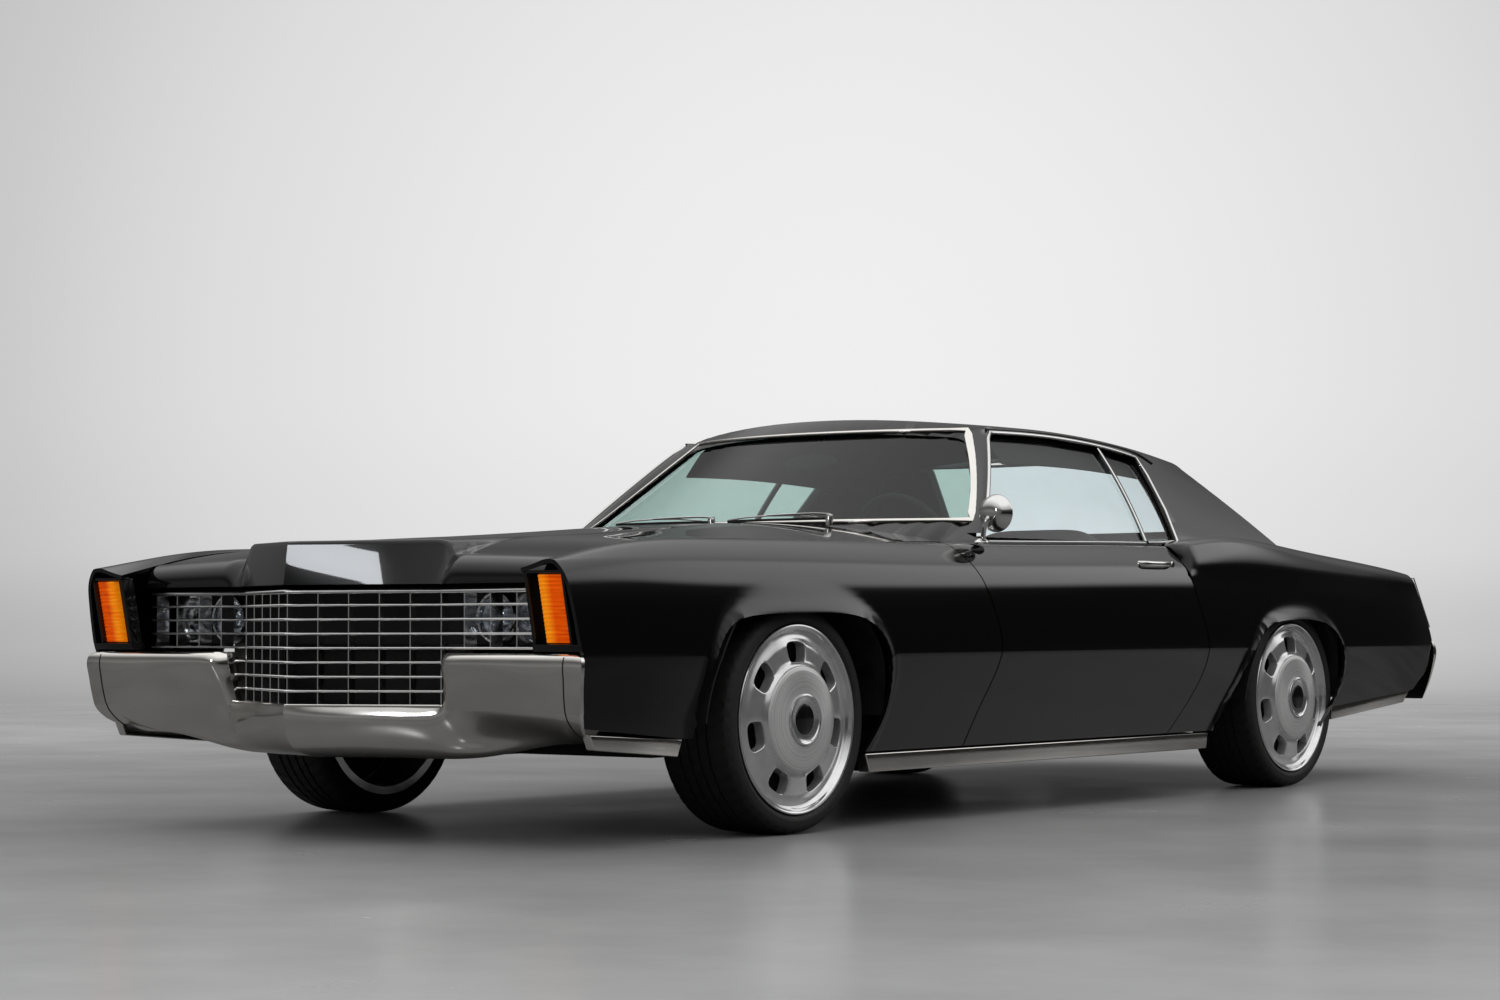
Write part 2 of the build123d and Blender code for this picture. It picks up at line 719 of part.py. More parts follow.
rear_bumper_levels = [
    (300.0, [(0, tail_y - 80), (700, tail_y - 95), (half_width - 84, tail_y - 105)]),
    (360.0, [(0, tail_y - 25), (700, tail_y - 45), (half_width - 54, tail_y - 90)]),
    (430.0, [(0, tail_y), (700, tail_y - 22), (half_width - 29, tail_y - 70)]),
    (545.0, [(0, tail_y), (700, tail_y - 22), (half_width - 29, tail_y - 70)]),
]
rear_back_y = tail_y - 117
with BuildPart() as rear_bumper:
    add(bumper_half([(z, [*front, (front[-1][0], rear_back_y), (0, rear_back_y)]) for z, front in rear_bumper_levels]))
    mirror(about=Plane.YZ)
save(rear_bumper.part, "rear_bumper")

# ---------------------------------------------------------------- grille and lamps
grille_bar_height = 8.0
grille_bars = 9
grille_top_z = 708.0
centre_grille_bottom = 388.0
outer_grille_bottom = 552.0
bar_pitch = (grille_top_z - centre_grille_bottom) / (grille_bars - 1)
grille_break = (397.0, nose_y + 210)
grille_end = (bonnet_half_width - 18, nose_y + 194)


def grille_slice(z, depth, front_shift, to_end):
    end = grille_end if to_end else grille_break
    line = [(0, nose_y + front_shift + 3), (grille_break[0], grille_break[1] + front_shift)]
    if to_end:
        line.append((end[0], end[1] + front_shift))
    back = [(x, y + depth) for x, y in reversed(line)]
    with BuildSketch(Plane.XY.offset(z)) as plan:
        with BuildLine():
            Polyline(*line, *back, close=True)
        make_face()
    return plan.sketch


with BuildPart() as grille:
    for level in range(grille_bars):
        bar_z = grille_top_z - level * bar_pitch - grille_bar_height
        add(grille_slice(bar_z, 22, 0, bar_z > outer_grille_bottom - 12))
        extrude(amount=grille_bar_height)
    fins = 5
    for fin in range(fins + 1):
        share = fin / fins
        fin_x = grille_break[0] * share if fin else 3.0
        fin_y = nose_y + 3 + 207 * share
        add(block(fin_x - 3, fin_x + 3, fin_y + 6, fin_y + 26, centre_grille_bottom - 8, grille_top_z))
    vanes = 5
    for vane in range(1, vanes + 1):
        vane_x = grille_break[0] + (grille_end[0] - grille_break[0]) * vane / vanes - 3
        vane_y = grille_end[1] + 4
        add(block(vane_x - 3, vane_x + 3, vane_y, vane_y + 56, outer_grille_bottom - 8, grille_top_z))
    mirror(about=Plane.YZ)
save(grille.part, "grille")

lamp_radius = 73.0
lamp_z = 628.0
lamp_front_y = nose_y + 282
outer_lamp_x = bonnet_half_width - 104
inner_lamp_x = bonnet_half_width - 262
for side, sign in (("left", 1), ("right", -1)):
    for place, lamp_x in (("outer", outer_lamp_x), ("inner", inner_lamp_x)):
        with BuildPart() as lamp:
            with Locations(Location((sign * lamp_x, lamp_front_y + 45, lamp_z), (90, 0, 0))):
                Cylinder(lamp_radius, 90)
            chamfer(lamp.faces().sort_by(Axis.Y)[0].edges(), 10)
        save(lamp.part, f"headlamp_{place}_{side}")

lamp_wall_bottom_z = 553.0
lamp_wall_top_z = rail_bottom_z - seam_gap
with BuildPart() as lamp_wall:
    with BuildSketch(Plane.XZ.offset(-lamp_front_y - 28)):
        with Locations((0, (lamp_wall_bottom_z + lamp_wall_top_z) / 2)):
            Rectangle(2 * (rail_x - seam_gap), lamp_wall_top_z - lamp_wall_bottom_z)
        with Locations(*[(sign * x, lamp_z) for sign in (1, -1) for x in (inner_lamp_x, outer_lamp_x)]):
            Circle(lamp_radius + seam_gap, mode=Mode.SUBTRACT)
    extrude(amount=-14)
save(lamp_wall.part, "lamp_wall")

lens_side = [(pod_y(558) + 6, 558), (pod_y(742) + 6, 742), (pod_y(742) + 26.7, 742), (pod_y(558) + 26.7, 558)]
with BuildPart() as turn_lamp:
    add(side_prism(lens_side, half_width - 158, half_width - 72))
save(turn_lamp.part, "turn_lamp_left")
save(mirrored(turn_lamp.part), "turn_lamp_right")

blade_lamp_side = [(tail_y - 284, 785), (tail_y - 244, 785), (tail_y - 105, 588), (tail_y - 148, 588)]
with BuildPart() as tail_lamp:
    add(side_prism(blade_lamp_side, half_width - 164, half_width - 79))
save(tail_lamp.part, "tail_lamp_left")
save(mirrored(tail_lamp.part), "tail_lamp_right")

# ---------------------------------------------------------------- sill trim, wipers, mirror
sill_in_x = half_width - 84
sill_out_x = half_width - 42
front_strip_y = bumper_end_y + 48
front_strip = [
    below_edge((wing_low_front, wing_low_rear), front_strip_y),
    below_edge((wing_low_front, wing_low_rear), wing_low_rear[0] - 4),
    (wing_low_rear[0] - 24, 244),
    (front_strip_y + 20, 274),
]
rear_strip = [
    below_edge((quarter_low_front, quarter_low_rear), rear_axle_y + tyre_radius + 14),
    below_edge((quarter_low_front, quarter_low_rear), quarter_low_rear[0] - 4),
    (quarter_low_rear[0] - 60, 292),
    (rear_axle_y + tyre_radius + 8, 240),
]
with BuildPart() as sill_trim:
    sill_front_y = front_axle_y + 325
    sill_rear_y = rear_axle_y - 650
    add(block(sill_in_x, sill_out_x, sill_front_y, sill_rear_y, sill_bottom_z, sill_top_z - panel_gap))
    add(side_prism(front_strip, half_width - 82, half_width - 52))
    add(side_prism(rear_strip, half_width - 92, half_width - 62))
save(sill_trim.part, "sill_trim_left")
save(mirrored(sill_trim.part), "sill_trim_right")

with BuildPart() as wipers:
    for pivot_x in (450.0, -40.0):
        pivot_y = cabin_y - 795
        with Locations((pivot_x, pivot_y, 931)):
            Cylinder(12, 74)
        add(block(pivot_x - 440, pivot_x + 6, pivot_y - 6, pivot_y + 6, 950, 962))
    cowl_top = front_outer.moved(Location((0, 0, seam_gap)))
    add(cowl_top, mode=Mode.SUBTRACT)
    add(mirrored(cowl_top), mode=Mode.SUBTRACT)
save(wipers.part, "wipers")

mirror_y = cabin_y - 600
mirror_x = half_width - 56
mirror_head = [(-30, 0), (-30, 26), (-22, 42), (-8, 54), (12, 61), (18, 61), (18, 0)]
with BuildPart() as mirror_left:
    with BuildSketch(Plane((mirror_x, mirror_y, 960), x_dir=(0, 1, 0), z_dir=(1, 0, 0))):
        with BuildLine():
            Polyline(*mirror_head, close=True)
        make_face()
    revolve(axis=Axis((mirror_x, mirror_y, 960), (0, 1, 0)))
    with Locations((mirror_x - 18, mirror_y, 870)):
        Cylinder(11, 100)
    add(door.part.moved(Location((0, 0, seam_gap))), mode=Mode.SUBTRACT)
    add(block(800, 1100, mirror_y - 100, mirror_y + 100, 700, 845), mode=Mode.SUBTRACT)
save(mirror_left.part, "mirror_left")

# ---------------------------------------------------------------- tub, engine and cabin
floor_z = 190.0
apron_x = kingpin_x - 232.0  # outer face of the panel beside the engine, clear of the tyres at full lock
rear_wall_x = wheel_centre_x - 213.0
tub_front_y = bonnet_rear_y + 12
seat_wall_y = cabin_y + 985
seat_pan_rear_y = seat_wall_y + 575
boot_floor_rear_y = boot_rear_y - 1
liner_radius = 425.0
liner_top_z = 706.0
rear_liner_radius = 372.0
front_clear = body_volume(front_stations, skin + seam_gap, skin + seam_gap, 100.0)


def wheel_liner(axle_y, radius, x_from):
    """Upper half of a round liner over a wheel, flat on top where it meets liner_top_z."""

    def room(reach, top_z):
        with BuildPart() as barrel:
            with Locations(Location(((x_from + 1100) / 2, axle_y, tyre_radius), (0, 90, 0))):
                Cylinder(reach, 1100 - x_from)
        return barrel.part & block(0, 1200, axle_y - 500, axle_y + 500, tyre_radius, top_z)

    return room(radius, liner_top_z) - room(radius - 6, liner_top_z - 6)


with BuildPart() as tub:
    add(block(0, 770, tub_front_y, cabin_y + 1000, 170, floor_z))
    add(block(760, sill_in_x - seam_gap, front_axle_y + 407, cabin_y + 720, sill_bottom_z, 222))
    add(front_clear & block(0, 770, tub_front_y, tub_front_y + 20, 170, 1000))
    add(block(0, 130, tub_front_y + 10, cabin_y + 1000, floor_z, 400))
    add(block(0, rear_wall_x, seat_wall_y, seat_wall_y + 20, 170, 850))
    add(block(0, rear_wall_x - 10, seat_wall_y + 10, seat_pan_rear_y, 470, 488))
    add(block(0, rear_wall_x - 10, seat_pan_rear_y - 18, seat_pan_rear_y, 330, 488))
    add(block(0, rear_wall_x - 10, seat_pan_rear_y - 10, boot_floor_rear_y, 330, 350))
    add(block(apron_x - 18, apron_x, bumper_back_y + 40, tub_front_y + 5, 330, 700))
    add(rear_clear & block(rear_wall_x - 20, rear_wall_x, seat_wall_y + 5, seat_pan_rear_y, 470, 850))
    add(block(rear_wall_x - 20, rear_wall_x, seat_pan_rear_y - 15, boot_floor_rear_y, 330, 760))
    add(front_clear & wheel_liner(front_axle_y, liner_radius, apron_x - 5))
    add(rear_clear & wheel_liner(rear_axle_y, rear_liner_radius, rear_wall_x - 5))
    mirror(about=Plane.YZ)
save(tub.part, "floor_tub")

rail_front_y = bumper_back_y + seam_gap
rail_top_z = 329.7
with BuildPart() as rails:
    for side in (1, -1):
        inner, outer = sorted((side * 380, side * 460))
        add(block(inner, outer, rail_front_y, tub_front_y - seam_gap, 250, rail_top_z))
    add(block(-460, 460, rail_front_y, rail_front_y + 60, 250, rail_top_z))
    add(block(-460, 460, front_axle_y - 60, front_axle_y + 60, 210, rail_top_z))
save(rails.part, "front_frame")

with BuildPart() as engine:
    add(block(-270, 270, front_axle_y - 303, front_axle_y + 567, 330, 760))
    chamfer(engine.edges().filter_by(Axis.Y), 24)
save(engine.part, "engine_block")

with BuildPart() as radiator:
    add(block(-370, 370, bumper_back_y + 40, bumper_back_y + 90, 330, 690))
save(radiator.part, "radiator")

steer_tilt = 24.0
steer_turn = (steer_tilt - 90, 0, 0)
steer_x = 380.0
steer_y = cabin_y - 270
steer_z = 870.0
column_reach = 120.0  # from the middle of the steering wheel to the middle of the column
with BuildPart() as dashboard:
    add(block(-740, 740, tub_front_y + 20.3, cabin_y - 500, 600, 836))
    add(block(-740, 740, cabin_y - 560, cabin_y - 420, 640, 820))
    column_y = steer_y - column_reach * cos(radians(steer_tilt))
    column_z = steer_z - column_reach * sin(radians(steer_tilt))
    with Locations(Location((steer_x, column_y, column_z), steer_turn)):
        Cylinder(30, 2 * (column_reach - 15 - seam_gap))
save(dashboard.part, "dashboard")

with BuildPart() as steering_wheel:
    with BuildSketch(Plane.XZ):
        with Locations((185, 0)):
            RegularPolygon(13, 8)
    revolve(axis=Axis.Z)
    Cylinder(55, 30)
    Box(360, 40, 12)
save(steering_wheel.part.moved(Location((steer_x, steer_y, steer_z), steer_turn)), "steering_wheel")

front_seat_y = cabin_y - 150
with BuildPart() as front_bench:
    for side in (1, -1):
        inner, outer = sorted((side * 140, side * 700))
        add(block(inner, outer, front_seat_y, front_seat_y + 500, floor_z + seam_gap, 440))
        back_rest = [(390, 400), (570, 400), (710, 920), (590, 940)]
        add(side_prism([(front_seat_y + y, z) for y, z in back_rest], inner, outer))
    add(block(-140.5, 140.5, front_seat_y + 30, front_seat_y + 480, 400.3, 450))
save(front_bench.part, "front_seats")

seat_back_y = seat_wall_y - seam_gap
with BuildPart() as rear_bench:
    add(block(-600, 600, seat_wall_y - 425, seat_back_y, 400 + seam_gap, 500))
    rest = [(seat_wall_y - 205, 480), (seat_back_y, 480), (seat_back_y, 849), (seat_wall_y - 105, 860)]
    add(side_prism(rest, -600, 600))
save(rear_bench.part, "rear_seat")

with BuildPart() as parcel_shelf:
    add(block(-600, 600, seat_wall_y, seat_wall_y + 515, 850.3, 862))
save(parcel_shelf.part, "parcel_shelf")

with BuildPart() as fuel_tank:
    add(block(-350, 350, tail_y - 960, tail_y - 410, 200, 329.7))
save(fuel_tank.part, "fuel_tank")

# ---------------------------------------------------------------- axles, uprights and wheels
axle_z = tyre_radius
with BuildPart() as rear_axle:
    with Locations(Location((0, rear_axle_y, axle_z), (0, 90, 0))):
        Cylinder(38, 2 * (hub_face_x - seam_gap))
    with Locations((0, rear_axle_y, axle_z)):
        Sphere(120)
    for side in (1, -1):
        with Locations((side * (rear_wall_x - 142), rear_axle_y, (axle_z + 470) / 2)):
            Cylinder(50, 470 - axle_z - 2 * seam_gap)
save(rear_axle.part, "rear_axle")

upright_x = kingpin_x - 30.0
arm_top_z = 262.0
with BuildPart() as upright:
    add(block(upright_x, upright_x + 60, front_axle_y - 45, front_axle_y + 45, arm_top_z + seam_gap, 460))
    with Locations((kingpin_x, front_axle_y, (arm_top_z + seam_gap + 480) / 2)):
        Cylinder(24, 480 - arm_top_z - seam_gap)
    with Locations(Location(((upright_x + hub_face_x - seam_gap) / 2, front_axle_y, axle_z), (0, 90, 0))):
        Cylinder(48, hub_face_x - seam_gap - upright_x)
save(upright.part, "upright_left")
save(mirrored(upright.part), "upright_right")

with BuildPart() as front_arms:
    for side in (1, -1):
        inner, outer = sorted((side * 460.3, side * (kingpin_x + 25)))
        add(block(inner, outer, front_axle_y - 30, front_axle_y + 30, 235, arm_top_z))
save(front_arms.part, "suspension_arms")

rim_profile = [
    (rim_width / 2, rim_flange_radius),
    (rim_width / 2, 262),
    (112, 250),
    (124, 243),
    (132, 186),
    (142, 172),
    (148, 166),
    (148, 76),
    (165, 70),
    (165, 0),
    (hub_seat_x, 0),
    (hub_seat_x, 85),
    (112, 90),
    (118, 165),
    (96, 240),
    (40, 215),
    (-30, 212),
    (-100, 240),
    (-rim_width / 2, 262),
    (-rim_width / 2, rim_flange_radius),
    (10 - rim_width / 2, rim_flange_radius),
    (15 - rim_width / 2, rim_bead_radius),
    (rim_width / 2 - 15, rim_bead_radius),
    (rim_width / 2 - 10, rim_flange_radius),
]
window_count = 7
with BuildPart() as rim:
    with BuildSketch(Plane.XY):
        with BuildLine():
            Polyline(*rim_profile, close=True)
        make_face()
    revolve(axis=Axis.X)
    with BuildSketch(Plane.YZ.offset(80)):
        with PolarLocations(214, window_count, start_angle=90):
            RectangleRounded(42, 92, 12)
    extrude(amount=70, mode=Mode.SUBTRACT)
tyre_profile = [
    (111.5, rim_bead_radius + seam_gap),
    (117, rim_flange_radius + 3),
    (tyre_width / 2, 303),
    (tread_width / 2, tyre_radius - 8),
    (tread_width / 2 - 20, tyre_radius),
]
with BuildPart() as tyre:
    with BuildSketch(Plane.XY):
        with BuildLine():
            Polyline(*tyre_profile, *[(-x, radius) for x, radius in reversed(tyre_profile)], close=True)
        make_face()
    revolve(axis=Axis.X)
for end, axle_y in (("front", front_axle_y), ("rear", rear_axle_y)):
    placed = Location((wheel_centre_x, axle_y, axle_z))
    save(rim.part.moved(placed), f"rim_{end}_left")
    save(mirrored(rim.part.moved(placed)), f"rim_{end}_right")
    save(tyre.part.moved(placed), f"tyre_{end}_left")
    save(mirrored(tyre.part.moved(placed)), f"tyre_{end}_right")
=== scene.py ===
import json
import math

import bpy
import numpy as np
from mathutils import Matrix, Vector


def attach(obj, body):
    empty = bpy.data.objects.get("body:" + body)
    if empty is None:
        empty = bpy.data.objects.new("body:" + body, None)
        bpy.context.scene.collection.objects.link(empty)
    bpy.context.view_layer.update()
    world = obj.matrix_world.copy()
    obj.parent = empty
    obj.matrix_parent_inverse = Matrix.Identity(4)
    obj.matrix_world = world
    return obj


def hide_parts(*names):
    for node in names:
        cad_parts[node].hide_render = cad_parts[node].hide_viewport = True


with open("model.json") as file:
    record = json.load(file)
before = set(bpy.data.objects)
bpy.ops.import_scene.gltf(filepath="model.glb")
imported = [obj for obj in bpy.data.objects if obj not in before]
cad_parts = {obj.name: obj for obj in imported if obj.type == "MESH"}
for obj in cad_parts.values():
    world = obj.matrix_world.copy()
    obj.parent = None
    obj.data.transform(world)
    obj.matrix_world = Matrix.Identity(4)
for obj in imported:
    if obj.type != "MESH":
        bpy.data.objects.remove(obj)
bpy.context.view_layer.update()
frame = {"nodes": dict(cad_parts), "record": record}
nodes = frame["nodes"]

# small helpers

flipX = Matrix.Scale(-1, 4, (1, 0, 0))
wheelAt = {"radius": 0.333, "axleY": {"front": -1.647, "rear": 1.401}, "faceX": 0.962}


def turnX(degrees):
    return Matrix.Rotation(math.radians(degrees), 4, "X")


def deselectAll():
    for other in bpy.context.selected_objects:
        other.select_set(False)


def activate(piece):
    deselectAll()
    piece.select_set(True)
    bpy.context.view_layer.objects.active = piece


def applied(piece, kind, **settings):
    # adds one modifier and applies it
    modifier = piece.modifiers.new("work", kind)
    for key, value in settings.items():
        setattr(modifier, key, value)
    activate(piece)
    bpy.ops.object.modifier_apply(modifier=modifier.name)
    return piece


def rounded(piece, width=0.002, segments=2, angle=40):
    return applied(piece, "BEVEL", width=width, segments=segments, use_clamp_overlap=False,
                   limit_method="ANGLE", angle_limit=math.radians(angle), harden_normals=False)


def thicken(piece, thickness):
    return applied(piece, "SOLIDIFY", thickness=thickness, offset=-1.0, use_even_offset=True)


def cutWith(piece, cutter, operation="DIFFERENCE"):
    applied(piece, "BOOLEAN", operation=operation, solver="EXACT", object=cutter)
    bpy.data.objects.remove(cutter)
    return piece


def smooth(piece, angle):
    activate(piece)
    bpy.ops.object.shade_smooth_by_angle(angle=math.radians(angle))
    return piece


def weld(piece, gap, closeEnds=False):
    # merges doubled points, closes open ends if asked and turns every face outward
    activate(piece)
    bpy.ops.object.mode_set(mode="EDIT")
    bpy.ops.mesh.select_all(action="SELECT")
    bpy.ops.mesh.remove_doubles(threshold=gap)
    if closeEnds:
        bpy.ops.mesh.select_all(action="DESELECT")
        bpy.ops.mesh.select_non_manifold()
        bpy.ops.mesh.fill_holes(sides=0)
        bpy.ops.mesh.select_all(action="SELECT")
    bpy.ops.mesh.normals_make_consistent(inside=False)
    bpy.ops.object.mode_set(mode="OBJECT")
    return piece


def fromGrid(name, points):
    # a grid primitive whose points are set row by row from an array of shape rows, columns, 3
    rows, columns = points.shape[:2]
    deselectAll()
    bpy.ops.mesh.primitive_grid_add(x_subdivisions=columns - 1, y_subdivisions=rows - 1, size=2)
    piece = bpy.context.active_object
    piece.name = name
    piece.data.vertices.foreach_set("co", points.reshape(-1))
    piece.data.update()
    return piece


def joined(name, parts):
    deselectAll()
    for part in parts:
        part.select_set(True)
    bpy.context.view_layer.objects.active = parts[0]
    bpy.ops.object.join()
    piece = bpy.context.active_object
    piece.name = name
    return piece


def copyOf(piece, name):
    twin = piece.copy()
    twin.data = piece.data.copy()
    twin.name = name
    bpy.context.scene.collection.objects.link(twin)
    return twin


def mirroredCopy(piece, name):
    twin = copyOf(piece, name)
    twin.data.transform(flipX)
    twin.data.flip_normals()
    return twin


def movedBy(piece, offset):
    piece.data.transform(Matrix.Translation(Vector(offset)))
    return piece


def loftLoops(name, loops, caps=True):
    # a closed solid through closed loops of points, made from a grid joined along one edge
    piece = fromGrid(name, np.stack([np.concatenate([loop, loop[:1]]) for loop in loops]))
    return weld(piece, 0.00001, caps)


def prismAlongX(name, outline, xFrom, xTo):
    # closed solid between two planes across the car, from a side-view outline of (y, z)
    return loftLoops(name, [np.array([(x, y, z) for y, z in outline]) for x in (xFrom, xTo)])


def boxBetween(name, low, high):
    deselectAll()
    bpy.ops.mesh.primitive_cube_add(size=1, location=[(a + b) / 2 for a, b in zip(low, high)])
    box = bpy.context.active_object
    box.name = name
    box.scale = [b - a for a, b in zip(low, high)]
    bpy.ops.object.transform_apply(location=True, rotation=True, scale=True)
    return box


def roundAngles(count):
    return np.linspace(0, 2 * math.pi, count + 1)[:-1]


def turned(name, profile, segments=64, axis="Y"):
    # a turned form: profile of (radius, along) closed on the axis where the radius is nought
    angles = roundAngles(segments)
    loops = []
    for radius, along in profile:
        radius = max(radius, 0.00001)
        across, up = radius * np.cos(angles), radius * np.sin(angles)
        level = np.full(segments, along)
        loops.append(np.stack([level, across, up] if axis == "X" else [across, level, up], axis=1))
    return loftLoops(name, loops)


def finishPiece(piece, body, material, replaced=()):
    piece.data.materials.clear()
    piece.data.materials.append(material)
    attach(piece, body)
    if replaced:
        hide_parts(*replaced)
    return piece


def bothSides(piece, body, material, slotName, replaced=None):
    # finishes a left-hand piece and its mirror image, each on its own side's body and for its own node
    twin = mirroredCopy(piece, piece.name.replace("Left", "Right"))
    for made, side in ((piece, "_left"), (twin, "_right")):
        finishPiece(made, body if body == "body" else body + side, material,
                    [replaced + side] if replaced else ())


def ease(t):
    t = min(1.0, max(0.0, t))
    return t * t * (3 - 2 * t)


# materials


def feed(node, inputs):
    # each input gets a value, or a link from another node's output
    for key, value in inputs.items():
        if isinstance(value, bpy.types.NodeSocket):
            node.id_data.links.new(value, node.inputs[key])
        else:
            node.inputs[key].default_value = value


def addNode(tree, kind, inputs=None, **settings):
    node = tree.nodes.new("ShaderNode" + kind)
    for key, value in settings.items():
        setattr(node, key, value)
    feed(node, inputs or {})
    return node


def newMaterial(name):
    material = bpy.data.materials.new(name)
    material.use_nodes = True
    tree = material.node_tree
    tree.nodes.clear()
    shader = addNode(tree, "BsdfPrincipled")
    output = addNode(tree, "OutputMaterial", {"Surface": shader.outputs["BSDF"]})
    return material, tree, shader, output


def objectCoordinates(tree):
    return addNode(tree, "TexCoord").outputs["Object"]


def noiseFactor(tree, scale, detail=4.0, mapScale=1.0, roughness=0.55):
    spread = mapScale if hasattr(mapScale, "__len__") else (mapScale,) * 3
    mapping = addNode(tree, "Mapping", {"Scale": spread, "Vector": objectCoordinates(tree)})
    return addNode(tree, "TexNoise", {"Scale": scale, "Detail": detail, "Roughness": roughness,
                                      "Vector": mapping.outputs["Vector"]}).outputs["Fac"]


def rampColour(tree, source, low, high):
    ramp = addNode(tree, "ValToRGB", {"Fac": source})
    for element, position, colour in zip(ramp.color_ramp.elements, (0.3, 0.7), (low, high)):
        element.position = position
        element.color = (*colour, 1)
    return ramp.outputs["Color"]


def rangeValue(tree, source, low, high, fromLow=0.3, fromHigh=0.7, **settings):
    return addNode(tree, "MapRange", {"From Min": fromLow, "From Max": fromHigh, "To Min": low,
                                      "To Max": high, "Value": source}, **settings).outputs["Result"]


def bumpNormal(tree, source, strength, distance):
    return addNode(tree, "Bump",
                   {"Strength": strength, "Distance": distance, "Height": source}).outputs["Normal"]


def mathValue(tree, operation, first, second=None, clamp=False):
    inputs = {0: first} if second is None else {0: first, 1: second}
    return addNode(tree, "Math", inputs, operation=operation, use_clamp=clamp).outputs["Value"]


def vectorMath(tree, operation, first, second=None, result="Vector"):
    inputs = {0: first} if second is None else {0: first, 1: second}
    return addNode(tree, "VectorMath", inputs, operation=operation).outputs[result]


def mixColour(tree, share, first, second, blend="MIX"):
    return addNode(tree, "Mix", {0: share, 6: first, 7: second}, data_type="RGBA",
                   blend_type=blend).outputs[2]


def mixShader(tree, share, first, second):
    return addNode(tree, "MixShader", {"Fac": share, 1: first, 2: second}).outputs["Shader"]


def plainFinish(name, low, high, roughLow, roughHigh, scale, metallic=0.0, bump=0.0, depth=0.0005,
                coat=0.0):
    # one finish with a fine drift of colour and gloss over it
    material, tree, shader, output = newMaterial(name)
    noise = noiseFactor(tree, scale)
    feed(shader, {
        "Base Color": rampColour(tree, noise, low, high),
        "Roughness": rangeValue(tree, noise, roughLow, roughHigh),
        "Metallic": metallic, "Coat Weight": coat, "Coat Roughness": 0.05,
    })
    if bump:
        feed(shader, {"Normal": bumpNormal(tree, noise, bump, depth)})
    return material


def paintFinish():
    # deep black lacquer: a base coat with a trace of flake under a clear coat with very slight orange peel
    material, tree, shader, output = newMaterial("blackPaint")
    flake = noiseFactor(tree, 2200.0, detail=2.0)
    feed(shader, {
        "Base Color": rampColour(tree, flake, (0.0025, 0.0024, 0.0024), (0.006, 0.0058, 0.0056)),
        "Roughness": 0.12,
        "Specular IOR Level": 0.12, "Coat Weight": 1.0, "Coat Roughness": 0.015,
        "Coat Normal": bumpNormal(tree, noiseFactor(tree, 260.0, detail=1.0), 0.02, 0.0002),
    })
    return material


def glassFinish(name, tint):
    # clear pane: what lies behind shows through the tint, and the room shows on its front face
    material, tree, shader, output = newMaterial(name)
    tree.nodes.remove(shader)
    colour = rampColour(tree, noiseFactor(tree, 9.0), [c * 0.985 for c in tint], tint)
    clear = addNode(tree, "BsdfTransparent", {"Color": colour})
    gloss = addNode(tree, "BsdfGlossy", {"Roughness": 0.0})
    fresnel = addNode(tree, "Fresnel", {"IOR": 1.5}).outputs["Fac"]
    back = addNode(tree, "NewGeometry").outputs["Backfacing"]
    share = mathValue(tree, "MULTIPLY", fresnel, mathValue(tree, "SUBTRACT", 1.0, back))
    feed(output, {"Surface": mixShader(tree, share, clear.outputs["BSDF"], gloss.outputs["BSDF"])})
    return material


def turnedFinish(name, axle):
    # lathe-turned alloy: fine rings about the axle, whose grain bends the light into a bow-tie
    material, tree, shader, output = newMaterial(name)
    around = vectorMath(tree, "SUBTRACT", objectCoordinates(tree), (0.0, *axle))
    flat = vectorMath(tree, "MULTIPLY", around, (0.0, 1.0, 1.0))
    radius = vectorMath(tree, "LENGTH", flat, result="Value")
    rings = addNode(tree, "TexNoise", noise_dimensions="1D")
    feed(rings, {"Scale": 240.0, "Detail": 6.0, "Roughness": 0.7, "W": radius})
    rings = rings.outputs["Fac"]
    feed(shader, {
        "Tangent": vectorMath(tree, "CROSS_PRODUCT", flat, (1.0, 0.0, 0.0)),
        "Base Color": rampColour(tree, rings, (0.60, 0.595, 0.59), (1.0, 0.995, 0.99)),
        "Roughness": rangeValue(tree, rings, 0.28, 0.40), "Metallic": 0.5, "Anisotropic": 0.85,
    })
    return material


def amberFinish():
    # ribbed amber plastic, paler and yellower over its inner third, with a low painted glow in its own
    # colours that stands in for light the bowl behind it sends back
    material, tree, shader, output = newMaterial("amberLens")
    mapping = addNode(tree, "Mapping", {"Vector": objectCoordinates(tree)}).outputs["Vector"]
    across = mathValue(tree, "ABSOLUTE", addNode(tree, "SeparateXYZ", {"Vector": mapping}).outputs["X"])
    outward = rangeValue(tree, across, 0.0, 1.0, 0.878, 0.900)
    cloudy = noiseFactor(tree, 24.0, mapScale=(0.5, 1.0, 6.0))
    outer = rampColour(tree, cloudy, (0.62, 0.05, 0.0), (0.95, 0.12, 0.0))
    inner = rampColour(tree, cloudy, (1.0, 0.19, 0.002), (1.0, 0.34, 0.008))
    colour = mixColour(tree, outward, inner, outer)
    feed(shader, {
        # painted glow: the lens's own colour also lights it a little, though the lamp is not lit
        "Base Color": colour, "Emission Color": colour, "Emission Strength": 0.42,
        "Specular IOR Level": 0.12, "Roughness": rangeValue(tree, cloudy, 0.22, 0.34),
    })
    return material


